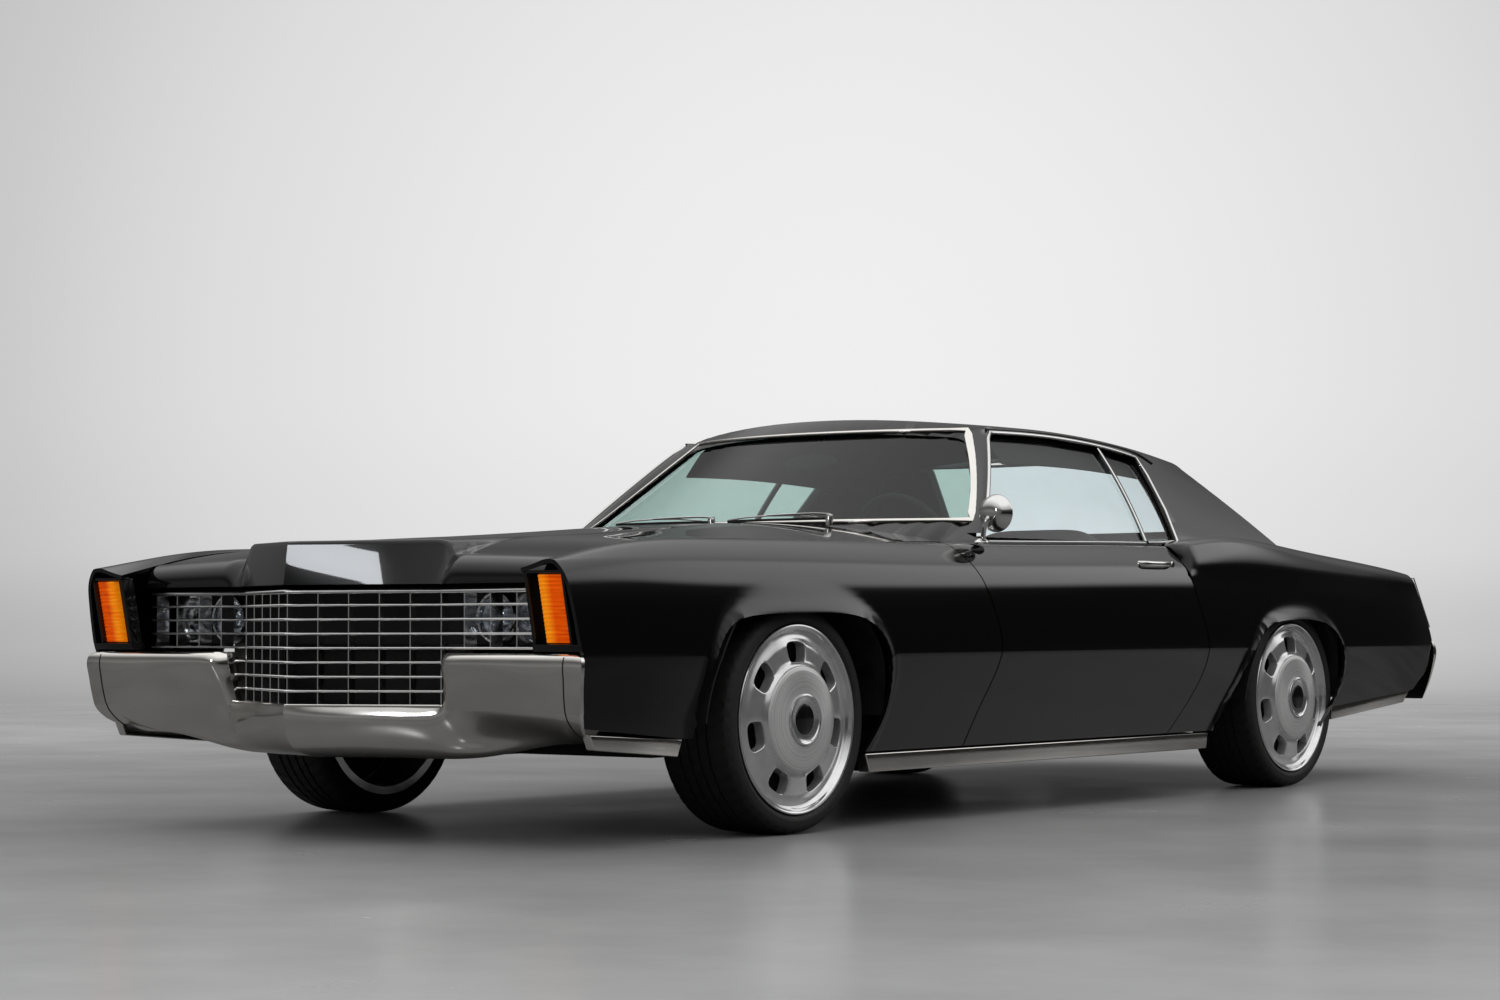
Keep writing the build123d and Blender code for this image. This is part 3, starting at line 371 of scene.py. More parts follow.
finishes = (
    # name, dark and light colour, least and greatest roughness, scale of the drift, how metallic, bump and
    # its depth, coat
    ("chrome", (0.78, 0.775, 0.765), (0.86, 0.855, 0.845), 0.03, 0.09, 14.0, 1.0),
    ("grilleChrome", (0.84, 0.835, 0.83), (0.93, 0.925, 0.92), 0.14, 0.22, 20.0, 1.0),
    ("bumperChrome", (0.86, 0.83, 0.785), (0.93, 0.90, 0.855), 0.10, 0.16, 7.0, 1.0),
    ("brushedAlloy", (0.5, 0.5, 0.5), (0.62, 0.62, 0.62), 0.2, 0.32, 40.0, 1.0),
    ("polishedAlloy", (0.8, 0.8, 0.81), (0.9, 0.9, 0.9), 0.07, 0.16, 25.0, 0.85),
    ("spokeAlloy", (0.78, 0.78, 0.78), (0.88, 0.88, 0.88), 0.10, 0.2, 30.0, 0.7),
    ("lampSilver", (0.75, 0.76, 0.78), (0.9, 0.9, 0.92), 0.05, 0.12, 90.0, 1.0, 0.3, 0.002),
    # aluminium made near black: painted shade for the dark space behind the grille, where the finned
    # radiator sits
    ("paintedShadeAlloy", (0.008, 0.008, 0.008), (0.016, 0.016, 0.016), 0.5, 0.7, 60.0, 0.0, 0.2),
    ("castIron", (0.06, 0.06, 0.062), (0.12, 0.12, 0.12), 0.5, 0.7, 120.0, 0.6, 0.4),
    ("chassisBlack", (0.008, 0.008, 0.008), (0.02, 0.019, 0.018), 0.45, 0.7, 25.0, 0.0, 0.1),
    ("tyreRubber", (0.012, 0.012, 0.012), (0.022, 0.021, 0.02), 0.5, 0.75, 90.0, 0.0, 0.25),
    ("softBlack", (0.01, 0.01, 0.01), (0.018, 0.018, 0.018), 0.45, 0.65, 180.0, 0.0, 0.15),
    ("glossBlack", (0.006, 0.006, 0.006), (0.01, 0.01, 0.01), 0.08, 0.14, 30.0),
    ("blackLeather", (0.02, 0.018, 0.017), (0.045, 0.04, 0.038), 0.4, 0.55, 420.0, 0.0, 0.35, 0.0008),
    ("fabricBlack", (0.012, 0.012, 0.012), (0.022, 0.021, 0.02), 0.8, 0.95, 700.0, 0.0, 0.3),
    ("redLens", (0.25, 0.004, 0.004), (0.42, 0.01, 0.008), 0.1, 0.2, 30.0, 0.0, 0.0, 0.0, 1.0),
    ("smokedRed", (0.035, 0.002, 0.002), (0.06, 0.004, 0.003), 0.08, 0.15, 30.0, 0.0, 0.0, 0.0, 1.0),
)
(chrome, grilleChrome, bumperChrome, brushedAlloy, polishedAlloy, spokeAlloy, lampSilver, paintedShadeAlloy,
 castIron, chassisBlack, tyreRubber, softBlack, glossBlack, leather, fabricBlack, redGlass,
 smokedRed) = [
    plainFinish(*row) for row in finishes]
paint = paintFinish()
amberGlass = amberFinish()
tintedGlass = glassFinish("tintedGlass", (0.70, 0.815, 0.775))
sideTint = glassFinish("sideGlass", (0.945, 0.982, 0.99))
lampGlass = glassFinish("lampGlass", (0.95, 0.96, 0.97))
lampCore = glassFinish("lampCore", (0.9, 0.93, 0.96))
turnedAlloy = {end: turnedFinish("turned" + end.capitalize(), (y, wheelAt["radius"]))
               for end, y in wheelAt["axleY"].items()}
print("materials made")

slotLooks = {
    "body_paint": paint, "tinted_glass": tintedGlass, "clear_lamp": lampGlass, "amber_lamp": amberGlass,
    "red_lamp": redGlass, "chrome": chrome, "tyre": tyreRubber, "leather": leather,
    # the aluminium parts take the near black finish, painted shade for the dark space behind the grille
    "dark_plastic": softBlack, "cast_iron": castIron, "aluminium": paintedShadeAlloy,
    "chassis_paint": chassisBlack,
}
slotOf = {part["node"]: part["material_slot"] for part in frame["record"]["subparts"]}
for name, node in nodes.items():
    node.data.materials.clear()
    node.data.materials.append(slotLooks[slotOf[name]])

# camera

cameraPlace = {
    "where": (6.0412, -8.3706, 0.6074),
    "turn": (92.4525, 0.1342, 37.9989),
    "lens": 69.73,
}
deselectAll()
bpy.ops.object.camera_add(location=cameraPlace["where"],
                          rotation=[math.radians(a) for a in cameraPlace["turn"]])
camera = bpy.context.active_object
camera.name = "viewCamera"
camera.data.lens = cameraPlace["lens"]
camera.data.sensor_width = 36.0
camera.data.clip_end = 200.0
bpy.context.scene.camera = camera
bpy.context.scene.view_settings.view_transform = "Standard"

# studio

studio = {
    # floor: painted light, brighter away from the car as the camera sees it, and painted shade, much darker
    # where the car's surfaces and bounced light see it
    "floorLow": 0.44, "floorHigh": 0.52, "floorPaintedLight": (0.88, 1.55, 2.6, 7.0),
    "floorRough": (0.19, 0.28), "floorPaintedShadeOffCamera": 0.26,
    "fadeFrom": 7.0, "fadeTo": 19.0,
    "backdrop": [(0.0, 0.50), (0.978, 0.56), (0.9835, 0.66), (0.992, 0.76), (1.0, 0.86)],
    "backdropCentre": (-0.585, 0.806, 0.09),
    "backdropFoot": [(0.0, 0.55), (0.483, 0.60), (0.498, 0.80), (0.515, 0.96), (0.54, 1.0)],
    "wallToward": (-0.72, 0.69, 0.0), "wallShare": [(0.0, 0.0), (0.72, 0.0), (0.86, 0.85), (1.0, 1.0)],
    "wallHeights": [(0.0, 0.058), (0.05, 0.105), (0.14, 0.125), (0.30, 0.10), (0.45, 0.24), (0.70, 0.9),
                    (1.0, 1.0)],
    "ceiling": [(0.0, 0.012), (0.10, 0.014), (0.24, 0.06), (0.42, 0.55), (0.75, 1.0), (1.0, 1.0)],
    "flood": [(0.0, 0.05), (0.5, 0.10), (0.62, 0.45), (0.8, 0.85), (1.0, 1.0)],
    "patchToward": (0.44, 0.80, 0.42), "patchLevel": 1.25,
    "patchShare": [(0.0, 0.0), (0.981, 0.0), (0.995, 1.0), (1.0, 1.0)],
    "frontToward": (-0.35, -0.93, 0.05), "frontShare": [(0.0, 0.0), (0.62, 0.0), (0.86, 0.7), (1.0, 1.0)],
    "frontHeights": [(0.0, 0.13), (0.12, 0.19), (0.3, 0.08), (0.6, 0.5), (1.0, 0.9)],
}


def greyCurve(tree, source, stops):
    # a smooth run of greys over a value between 0 and 1
    ramp = addNode(tree, "ValToRGB", {"Fac": source})
    ramp.color_ramp.interpolation = "EASE"
    while len(ramp.color_ramp.elements) < len(stops):
        ramp.color_ramp.elements.new(0.5)
    for element, (where, level) in zip(ramp.color_ramp.elements, stops):
        element.position = where
        element.color = (level, level, level, 1)
    return ramp.outputs["Color"]


def facing(tree, direction, toward):
    # how squarely the ray's direction faces a given direction, 0 behind to 1 straight at it
    dot = vectorMath(tree, "DOT_PRODUCT", direction, Vector(toward).normalized(), "Value")
    return mathValue(tree, "ADD", mathValue(tree, "MULTIPLY", dot, 0.5), 0.5, clamp=True)


world = bpy.data.worlds.new("studioAir")
bpy.context.scene.world = world
world.use_nodes = True
air = world.node_tree
air.nodes.clear()
airWay = addNode(air, "TexCoord").outputs["Generated"]
airHeight = addNode(air, "SeparateXYZ", {"Vector": airWay}).outputs["Z"]


def airToward(toward, stops):
    return greyCurve(air, facing(air, airWay, toward), stops)


# what the camera sees: a pale wall with a soft bright middle, darker toward its foot
backdrop = mixColour(air, 1.0, airToward(studio["backdropCentre"], studio["backdrop"]),
                     airToward((0, 0, 1), studio["backdropFoot"]), "MULTIPLY")
# what the surfaces see: a dark room at eye level, pale above, with the pale wall behind the car
roomGrey = greyCurve(air, airHeight, studio["ceiling"])
for key in ("wall", "front"):
    share = airToward(studio[key + "Toward"], studio[key + "Share"])
    roomGrey = mixColour(air, share, roomGrey, greyCurve(air, airHeight, studio[key + "Heights"]))
# a lit patch of wall behind the car's left shoulder, which the wheel arches catch
patch = addNode(air, "RGB").outputs["Color"]
patch.default_value = (*[studio["patchLevel"]] * 3, 1)
roomGrey = mixColour(air, airToward(studio["patchToward"], studio["patchShare"]), roomGrey, patch)
rays = addNode(air, "LightPath").outputs
seen, felt, flooded = [addNode(air, "Background", {"Color": colour}).outputs["Background"]
                       for colour in (backdrop, roomGrey, airToward((0, 0, 1), studio["flood"]))]
addNode(air, "OutputWorld", {
    "Surface": mixShader(air, rays["Is Camera Ray"], mixShader(air, rays["Is Diffuse Ray"], felt, flooded),
                         seen),
})

deselectAll()
bpy.ops.mesh.primitive_plane_add(size=90, location=(0, 0, 0))
floor = bpy.context.active_object
floor.name = "studioFloor"
concrete, tree, shader, output = newMaterial("studioFloor")
broad = noiseFactor(tree, 0.7, detail=8.0, roughness=0.62)
colour = rampColour(tree, broad, (studio["floorLow"],) * 3, (studio["floorHigh"],) * 3)
reach = vectorMath(tree, "LENGTH", objectCoordinates(tree), result="Value")
# painted light and shade on the floor: for the camera it goes from a little darker near the car to about
# half as bright again far off; for every other ray it is dimmed to about a quarter
paintedFloorLight = rangeValue(tree, reach, *studio["floorPaintedLight"])
toCamera = addNode(tree, "LightPath").outputs["Is Camera Ray"]
level = rangeValue(tree, toCamera, studio["floorPaintedShadeOffCamera"], paintedFloorLight, 0.0, 1.0)
feed(shader, {
    "Base Color": mixColour(tree, 1.0, colour, level, "MULTIPLY"), "Specular IOR Level": 0.5,
    "Roughness": rangeValue(tree, noiseFactor(tree, 1.3, detail=6.0), *studio["floorRough"]),
})
fade = rangeValue(tree, reach, 0.0, 1.0, studio["fadeFrom"], studio["fadeTo"],
                  interpolation_type="SMOOTHSTEP")
clear = addNode(tree, "BsdfTransparent").outputs["BSDF"]
feed(output, {"Surface": mixShader(tree, fade, shader.outputs["BSDF"], clear)})
floor.data.materials.append(concrete)


def softBox(name, where, target, size, power, tint):
    deselectAll()
    bpy.ops.object.light_add(type="AREA", location=where)
    box = bpy.context.active_object
    box.name = name
    box.data.shape = "RECTANGLE"
    box.data.size, box.data.size_y = size
    box.data.energy = power
    box.data.color = tint
    box.rotation_euler = (Vector(target) - Vector(where)).to_track_quat("-Z", "Y").to_euler()
    return box


softBox("frontBox", (0.92, -8.0, 2.80), (0.15, -2.65, 0.8), (0.42, 1.20), 20, (0.93, 0.96, 1.0))
print("studio made")

# body surface shared by every outer panel

bodySide = {
    # y, x of the foot, crease, shoulder (x, z), peak (x, z), inner edge (x, z), z on the centre plane
    "front": [
        (-2.64, 0.958, 0.985, 0.970, 0.748, 0.905, 0.790, 0.800, 0.762, 0.775),
        (-2.35, 0.966, 1.000, 0.985, 0.750, 0.902, 0.836, 0.800, 0.822, 0.842),
        (-1.90, 0.968, 1.008, 0.990, 0.751, 0.900, 0.857, 0.803, 0.846, 0.878),
        (-1.40, 0.969, 1.012, 0.993, 0.753, 0.899, 0.862, 0.806, 0.856, 0.912),
        (-0.90, 0.970, 1.014, 0.996, 0.757, 0.898, 0.864, 0.808, 0.864, 0.942),
        (-0.30, 0.970, 1.014, 0.998, 0.763, 0.899, 0.872, 0.800, 0.876, 0.940),
        (0.30, 0.970, 1.014, 1.000, 0.768, 0.903, 0.882, 0.800, 0.884, 0.935),
        (0.76, 0.970, 1.014, 1.000, 0.768, 0.908, 0.886, 0.800, 0.886, 0.930),
    ],
    "rear": [
        (0.56, 0.970, 1.014, 1.000, 0.770, 0.962, 0.890, 0.800, 0.900, 0.940),
        (0.89, 0.970, 1.014, 1.000, 0.770, 0.966, 0.917, 0.795, 0.915, 0.945),
        (1.46, 0.970, 1.010, 0.994, 0.762, 0.956, 0.886, 0.785, 0.898, 0.928),
        (1.95, 0.962, 0.999, 0.981, 0.746, 0.943, 0.850, 0.778, 0.861, 0.887),
        (2.44, 0.945, 0.972, 0.958, 0.725, 0.932, 0.809, 0.772, 0.815, 0.832),
        (2.74, 0.915, 0.938, 0.930, 0.700, 0.915, 0.775, 0.768, 0.785, 0.800),
    ],
    "footZ": 0.228,
    "creaseZ": 0.515,
    "corners": (0.006, 0.042, 0.026),  # how far each corner of the section is rounded back
    "bows": (0.0, 0.005, 0.009, -0.002),
    "wall": 0.012,
}


def naturalSpline(at, values):
    # a smooth curve through the values, bending as little as it can
    at = np.asarray(at, float)
    values = np.asarray(values, float)
    count = len(at)
    step = np.diff(at)
    system = np.eye(count)
    right = np.zeros_like(values)
    for i in range(1, count - 1):
        system[i, i - 1:i + 2] = step[i - 1], 2 * (step[i - 1] + step[i]), step[i]
        right[i] = 6 * ((values[i + 1] - values[i]) / step[i] - (values[i] - values[i - 1]) / step[i - 1])
    bend = np.linalg.solve(system, right)

    def curve(where):
        where = np.asarray(where, float)
        k = np.clip(np.searchsorted(at, where) - 1, 0, count - 2)
        h = step[k]
        a = (at[k + 1] - where) / h
        b = (where - at[k]) / h
        if values.ndim > 1:
            h, a, b = h[..., None], a[..., None], b[..., None]
        return (a * values[k] + b * values[k + 1]
                + ((a ** 3 - a) * bend[k] + (b ** 3 - b) * bend[k + 1]) * h * h / 6)

    return curve


def throughRows(rows):
    # a curve through rows of values that each begin with where they are
    return naturalSpline([row[0] for row in rows], [row[1:] for row in rows])


controls = {key: throughRows(bodySide[key]) for key in ("front", "rear")}


def roundedPath(points, corners, bows, perSegment, perCorner):
    # points: rows x corners x 2; the path runs through them with bowed runs and rounded corners
    last = points.shape[1] - 2

    def bowed(k, reach):
        # the point of run k that lies a share of the way along, given by a function of the run's length
        along = points[:, k + 1] - points[:, k]
        length = np.linalg.norm(along, axis=1, keepdims=True)
        side = np.stack([along[:, 1], -along[:, 0]], axis=1) / length
        share = reach(length)
        return points[:, k] + along * share + side * bows[k] * 4 * share * (1 - share)

    out = []
    for k in range(last + 1):
        back = corners[k - 1] if k > 0 else 0.0
        ahead = corners[k] if k < last else 0.0
        for t in np.linspace(0, 1, perSegment[k] + 1):
            out.append(bowed(k, lambda length: back / length + (1 - (back + ahead) / length) * t))
        if k < last:
            start, corner, end = out[-1], points[:, k + 1], bowed(k + 1, lambda length: ahead / length)
            for t in np.linspace(0, 1, perCorner[k] + 2)[1:-1]:
                out.append(start * (1 - t) ** 2 + corner * 2 * t * (1 - t) + end * t ** 2)
    return np.stack(out, axis=1)


def sideSection(kind, ys, edgeX):
    # (x, z) of the section's points from the foot over the crease, shoulder and peak to x = edgeX
    c = controls[kind](ys)
    n = len(ys)
    points = np.zeros((n, 5, 2))
    points[:, 0] = np.stack([c[:, 0], np.full(n, bodySide["footZ"])], axis=1)
    points[:, 1] = np.stack([c[:, 1], np.full(n, bodySide["creaseZ"])], axis=1)
    points[:, 2] = c[:, 2:4]
    points[:, 3] = c[:, 4:6]
    share = (c[:, 4] - edgeX) / (c[:, 4] - c[:, 6])
    points[:, 4] = np.stack([np.full(n, edgeX), c[:, 5] + (c[:, 7] - c[:, 5]) * share], axis=1)
    return roundedPath(points, bodySide["corners"], bodySide["bows"], (8, 9, 5, 5), (3, 7, 6))


def topHeight(kind, xs, ys):
    # height of the bonnet or deck surface between its edge and the centre plane
    c = controls[kind](ys)
    share = np.clip(np.abs(xs) / c[..., 6], 0, 1)
    return c[..., 8] + (c[..., 7] - c[..., 8]) * share ** 2.15


archForm = {"centreZ": 0.3335, "proud": 0.0135, "curve": 1.7}
arches = {
    # (y from the axle, z) along the wheel's opening and along the outer edge of its flare
    "front": {
        "open": [(-0.57, 0.05), (-0.510, 0.296), (-0.447, 0.500), (-0.380, 0.600), (-0.255, 0.634),
                 (0.0, 0.641), (0.210, 0.634), (0.350, 0.575), (0.404, 0.440), (0.375, 0.310),
                 (0.300, 0.200), (0.2, 0.05)],
        "edge": [(-0.62, 0.05), (-0.535, 0.296), (-0.466, 0.520), (-0.385, 0.656), (-0.200, 0.730),
                 (-0.023, 0.744), (0.150, 0.725), (0.267, 0.679), (0.400, 0.575), (0.440, 0.440),
                 (0.404, 0.310), (0.33, 0.200), (0.22, 0.05)],
    },
    "rear": {
        "open": [(-0.76, 0.05), (-0.618, 0.250), (-0.400, 0.505), (-0.300, 0.590), (-0.150, 0.618),
                 (0.060, 0.620), (0.240, 0.585), (0.336, 0.500), (0.340, 0.390), (0.200, 0.200),
                 (0.12, 0.05)],
        "edge": [(-0.80, 0.05), (-0.64, 0.250), (-0.43, 0.505), (-0.300, 0.635), (-0.130, 0.682),
                 (0.0, 0.688), (0.150, 0.668), (0.262, 0.610), (0.366, 0.500), (0.372, 0.385),
                 (0.225, 0.200), (0.14, 0.05)],
    },
}


def curveThrough(points, perSpan):
    # an evenly bending line through the points
    points = np.asarray(points, float)
    span = np.concatenate([[0], np.cumsum(np.sqrt(np.linalg.norm(np.diff(points, axis=0), axis=1)))])
    line = naturalSpline(span, points)
    where = np.concatenate([np.linspace(span[i], span[i + 1], perSpan, endpoint=False)
                            for i in range(len(span) - 1)])
    return line(np.concatenate([where, [span[-1]]]))


def flareLift(key, ys, zs):
    # how far the flare stands out of the panel, from nought at its outer edge to most at the opening
    axleY, axleZ = wheelAt["axleY"][key], archForm["centreZ"]
    around = np.arctan2(ys - axleY, zs - axleZ)
    reach = np.hypot(ys - axleY, zs - axleZ)

    def reachOf(points):
        line = curveThrough(points, 10)
        angle = np.arctan2(line[:, 0], line[:, 1] - axleZ)
        order = np.argsort(angle)
        return np.interp(around, angle[order], np.hypot(line[:, 0], line[:, 1] - axleZ)[order])

    inner, outer = reachOf(arches[key]["open"]), reachOf(arches[key]["edge"])
    share = np.clip((outer - reach) / (outer - inner), 0, 1)
    low = np.clip((zs - 0.2) / 0.12, 0, 1)
    return archForm["proud"] * share ** archForm["curve"] * low


doorGap = 0.006


def splineAt(line):
    # y of a smooth line at each height
    curve = naturalSpline([z for y, z in line], [y for y, z in line])
    return lambda z: curve(np.clip(z, line[0][1], line[-1][1]))


doorFront = splineAt([(-0.800, 0.228), (-0.718, 0.369), (-0.640, 0.515), (-0.669, 0.645), (-0.815, 0.905)])
doorRear = splineAt([(0.463, 0.228), (0.585, 0.340), (0.687, 0.515), (0.619, 0.689), (0.560, 0.905)])


def lineAt(points):
    # y of a line of straight runs at each height
    return lambda z: np.interp(z, [p[1] for p in points], [p[0] for p in points])


wingFront = lineAt([(-2.560, 0.284), (-2.608, 0.380), (-2.608, 0.532), (-2.620, 0.545), (-2.672, 0.800)])
tailRear = lineAt([(2.390, 0.290), (2.451, 0.347), (2.600, 0.416), (2.6427, 0.540), (2.600, 0.600),
                   (2.473, 0.788)])


def faceOut(piece, inside):
    # turns the faces of an open sheet away from a point inside the car
    if sum((face.center - Vector(inside)).dot(face.normal) * face.area for face in piece.data.polygons) < 0:
        piece.data.flip_normals()
    return piece


def sidePanel(name, kind, frontLine, rearLine, edgeX, rows, flared=False, reshape=None):
    # a panel between two edge lines; its points settle on the section in a few rounds
    along = np.linspace(0, 1, rows)[:, None]
    firstHeights = sideSection(kind, np.array([0.6 if kind == "rear" else -1.5]), edgeX)[0, :, 1]
    width = len(firstHeights)
    zs = np.tile(firstHeights, (rows, 1))
    for settling in range(4):
        ys = frontLine(zs) * (1 - along) + rearLine(zs) * along
        picked = sideSection(kind, ys.reshape(-1), edgeX)[np.arange(rows * width),
                                                          np.tile(np.arange(width), rows)]
        zs = picked[:, 1].reshape(rows, width)
    xs = picked[:, 0].reshape(rows, width)
    if flared:
        xs = xs + flareLift(kind, ys, zs)
    points = np.stack([xs, ys, zs], axis=2)
    if reshape:
        points = reshape(points)
    piece = faceOut(fromGrid(name, points), (0.4, float(ys.mean()), 0.45))
    return thicken(piece, bodySide["wall"])


def archCutter(key, ahead, behind):
    # the wheel opening with what else is cut from the panel's lower edge, ahead of the wheel and behind it
    axleY = wheelAt["axleY"][key]
    line = [(axleY + y, z) for y, z in curveThrough(arches[key]["open"][1:-1], 8)]
    return prismAlongX(key + "Opening", ahead + line + behind, 0.6, 1.2)


wing = sidePanel("wingLeft", "front", wingFront, lambda z: doorFront(z) - doorGap, 0.809, 210, True)
cutWith(wing, archCutter("front", [(-2.9, 0.362), (-2.167, 0.292)], [(-1.3, 0.05), (-2.9, 0.05)]))
bothSides(smooth(wing, 30), "body", paint, "body_paint", "front_wing")

door = sidePanel("doorLeft", "front", doorFront, doorRear, 0.806, 120)
bothSides(smooth(door, 30), "door", paint, "body_paint", "door")


def hipFace(points):
    # the hip starts behind the door with a rounded face that stands out of the door's narrower top
    xs, ys, zs = points[..., 0], points[..., 1], points[..., 2]
    start = doorRear(zs) + doorGap
    share = np.clip((ys - start) / 0.085, 0, 1)
    inward = 1 - np.sqrt(np.clip(1 - (1 - share) ** 2, 0, 1))
    high = np.clip((zs - 0.78) / 0.05, 0, 1)
    points[..., 0] = xs - 0.030 * inward * high * np.clip((xs - 0.86) / 0.08, 0, 1)
    points[..., 2] = zs - 0.012 * inward * np.clip((zs - 0.84) / 0.03, 0, 1)
    return points


quarter = sidePanel("quarterLeft", "rear", lambda z: doorRear(z) + doorGap, tailRear, 0.781, 210, True,
                    hipFace)
behindWheel = [(1.70, 0.29), (2.43, 0.34), (2.9, 0.37), (2.9, 0.05), (0.9, 0.05), (0.78, 0.198)]
cutWith(quarter, archCutter("rear", [], behindWheel))
bothSides(smooth(quarter, 30), "body", paint, "body_paint", "quarter_panel")
print("side panels made")

# bonnet

bonnetForm = {
    "halfWidth": 0.803,
    "lipZ": 0.722,
    "rearY": -0.947,
    "baseLine": [(0.0, -2.760), (0.393, -2.566), (0.803, -2.568)],
    "noseStations": [(-2.78, 0.432, 0.843), (-2.40, 0.408, 0.856), (-1.80, 0.345, 0.886),
                     (-1.25, 0.250, 0.921)],
    "noseTopY": (-2.733, -2.503),  # of the raised nose's upper edge, on the centre plane and at its corner
}
noseCurve = throughRows(bonnetForm["noseStations"])


def noseAt(ys):
    # x of the raised nose's edge and its height
    first, last = bonnetForm["noseStations"][0][0], bonnetForm["noseStations"][-1][0]
    nose = noseCurve(np.clip(ys, first, last))
    return nose[..., 0], nose[..., 1]


def bonnetHeight(xs, ys):
    # the raised nose blended into the broad surface around it
    base = topHeight("front", xs, ys)
    edge, top = noseAt(ys)
    shoulder = np.interp(edge - xs, [-0.016, -0.006, 0.0, 0.012, 0.025, 0.042, 0.4],
                         [-0.11, -0.075, -0.042, -0.013, -0.0065, -0.003, 0.0])
    gap = top + shoulder - base
    blend = 0.006
    return base + 0.5 * (gap + np.sqrt(gap * gap + blend * blend)) - blend * 0.1


def bonnetColumns(ys):
    # x of each column of points: even inside the raised nose, close together over its edge, even beside it
    edge = noseAt(ys)[0]
    inner = [(edge - 0.042) * t for t in np.linspace(0, 1, 15)]
    rim = [edge + d for d in (-0.034, -0.025, -0.018, -0.012, -0.006, 0.0, 0.005, 0.010, 0.016, 0.026,
                              0.040, 0.06)]
    last = edge + 0.06
    outer = [last + (bonnetForm["halfWidth"] - last) * t for t in np.linspace(0, 1, 19)[1:]]
    return np.stack(inner + rim + outer, axis=-1)


def bonnetHalf():
    # rows of points from the nose's lip to the cowl, on the left half
    form = bonnetForm
    faceRows, roll, topRows = 9, 10, 150
    width = bonnetColumns(np.array([-2.4])).shape[1]
    baseX = bonnetColumns(np.array([-2.566]))[0]
    baseY = np.interp(baseX, [p[0] for p in form["baseLine"]], [p[1] for p in form["baseLine"]])
    tipY, cornerY = form["noseTopY"]
    raisedY = np.interp(baseX, [0.0, 0.414, 0.44, 0.47, 0.803], [tipY, cornerY, -2.500, -2.500, -2.500])
    topX = bonnetColumns(raisedY.mean() + 0 * raisedY[:1])[0]
    topZ = bonnetHeight(topX, raisedY)
    noseShare = np.clip((0.46 - baseX) / 0.06, 0, 1)
    rows = []
    for t in np.linspace(0, 1, faceRows + roll):
        # a raked flat face with a tight upper edge on the nose, a rolled edge beside it
        flat = np.clip(t / 0.80, 0, 1)
        bend = np.clip((t - 0.80) / 0.20, 0, 1)
        flatY = baseY + (raisedY - 0.012 - baseY) * flat + 0.012 * (1 - np.cos(bend * np.pi / 2)) ** 0.9
        flatZ = form["lipZ"] + (topZ - 0.010 - form["lipZ"]) * flat + 0.010 * np.sin(bend * np.pi / 2)
        turn = t * np.pi / 2
        rollY = baseY + (raisedY - baseY) * (1 - np.cos(turn))
        rollZ = form["lipZ"] + (topZ - form["lipZ"]) * np.sin(turn) ** 0.85
        y = flatY * noseShare + rollY * (1 - noseShare)
        z = flatZ * noseShare + rollZ * (1 - noseShare)
        x = baseX + (topX - baseX) * t
        rows.append(np.stack([x, y, z], axis=1))
    for t in np.linspace(0, 1, topRows)[1:] ** 1.15:
        y = raisedY + (form["rearY"] - raisedY) * t
        x = bonnetColumns(y)[np.arange(width), np.arange(width)]
        rows.append(np.stack([x, y, bonnetHeight(x, y)], axis=1))
    return np.stack(rows, axis=0)


half = bonnetHalf()
other = half[:, :0:-1].copy()
other[..., 0] *= -1
bonnet = faceOut(fromGrid("bonnetPanel", np.concatenate([other, half], axis=1)), (0, -1.8, 0.5))
thicken(bonnet, bodySide["wall"])
finishPiece(smooth(bonnet, 40), "bonnet", paint, ["bonnet"])
print("bonnet made")


def deckPanel(name, kind, yFrom, yTo, halfX, body, replaced, rows=50):
    xs = np.linspace(-halfX, halfX, 61)
    ys = np.linspace(yFrom, yTo, rows)
    gridX, gridY = np.meshgrid(xs, ys)
    points = np.stack([gridX, gridY, topHeight(kind, gridX, gridY)], axis=2)
    piece = thicken(faceOut(fromGrid(name, points), (0, (yFrom + yTo) / 2, 0.3)), bodySide["wall"])
    finishPiece(smooth(piece, 40), body, paint, [replaced])


deckPanel("bootPanel", "rear", 1.636, 2.461, 0.775, "boot_lid", "boot_lid")
deckPanel("rearDeckPanel", "rear", 1.390, 1.630, 0.7807, "body", "rear_deck", rows=20)
deckPanel("cowlPanel", "front", -0.941, -0.56, 0.793, "body", "cowl_panel", rows=24)
print("decks made")

# roof, pillars and glass

cabinForm = {
    # y, belt (x, z), rail (x, z), z on the centre plane
    "stations": [
        (-0.90, 0.914, 0.868, 0.676, 1.216, 1.290),
        (-0.18, 0.908, 0.872, 0.670, 1.245, 1.316),
        (0.25, 0.910, 0.880, 0.674, 1.248, 1.317),
        (0.75, 0.906, 0.884, 0.670, 1.222, 1.301),
        (1.13, 0.893, 0.888, 0.640, 1.186, 1.272),
        (1.70, 0.872, 0.888, 0.600, 1.112, 1.200),
    ],
    "skin": 0.030,
    "window": [(-0.616, 0.845), (-0.186, 1.247), (0.179, 1.249), (0.511, 1.232), (0.747, 1.205),
               (0.652, 0.845)],
    "screenZ": (0.948, 1.262),
    "backlight": [(0.0, 0.962), (0.590, 0.962), (0.480, 1.222), (0.0, 1.240)],
}
cabinCurve = throughRows(cabinForm["stations"])


def bent(p, q, over, count):
    # points of an even bend from p to q that passes through over half way
    t = np.linspace(0, 1, count)[:, None]
    p, q, over = np.array(p), np.array(q), np.array(over)
    pull = 2 * over - (p + q) / 2
    return p * (1 - t) ** 2 + pull * 2 * t * (1 - t) + q * t ** 2


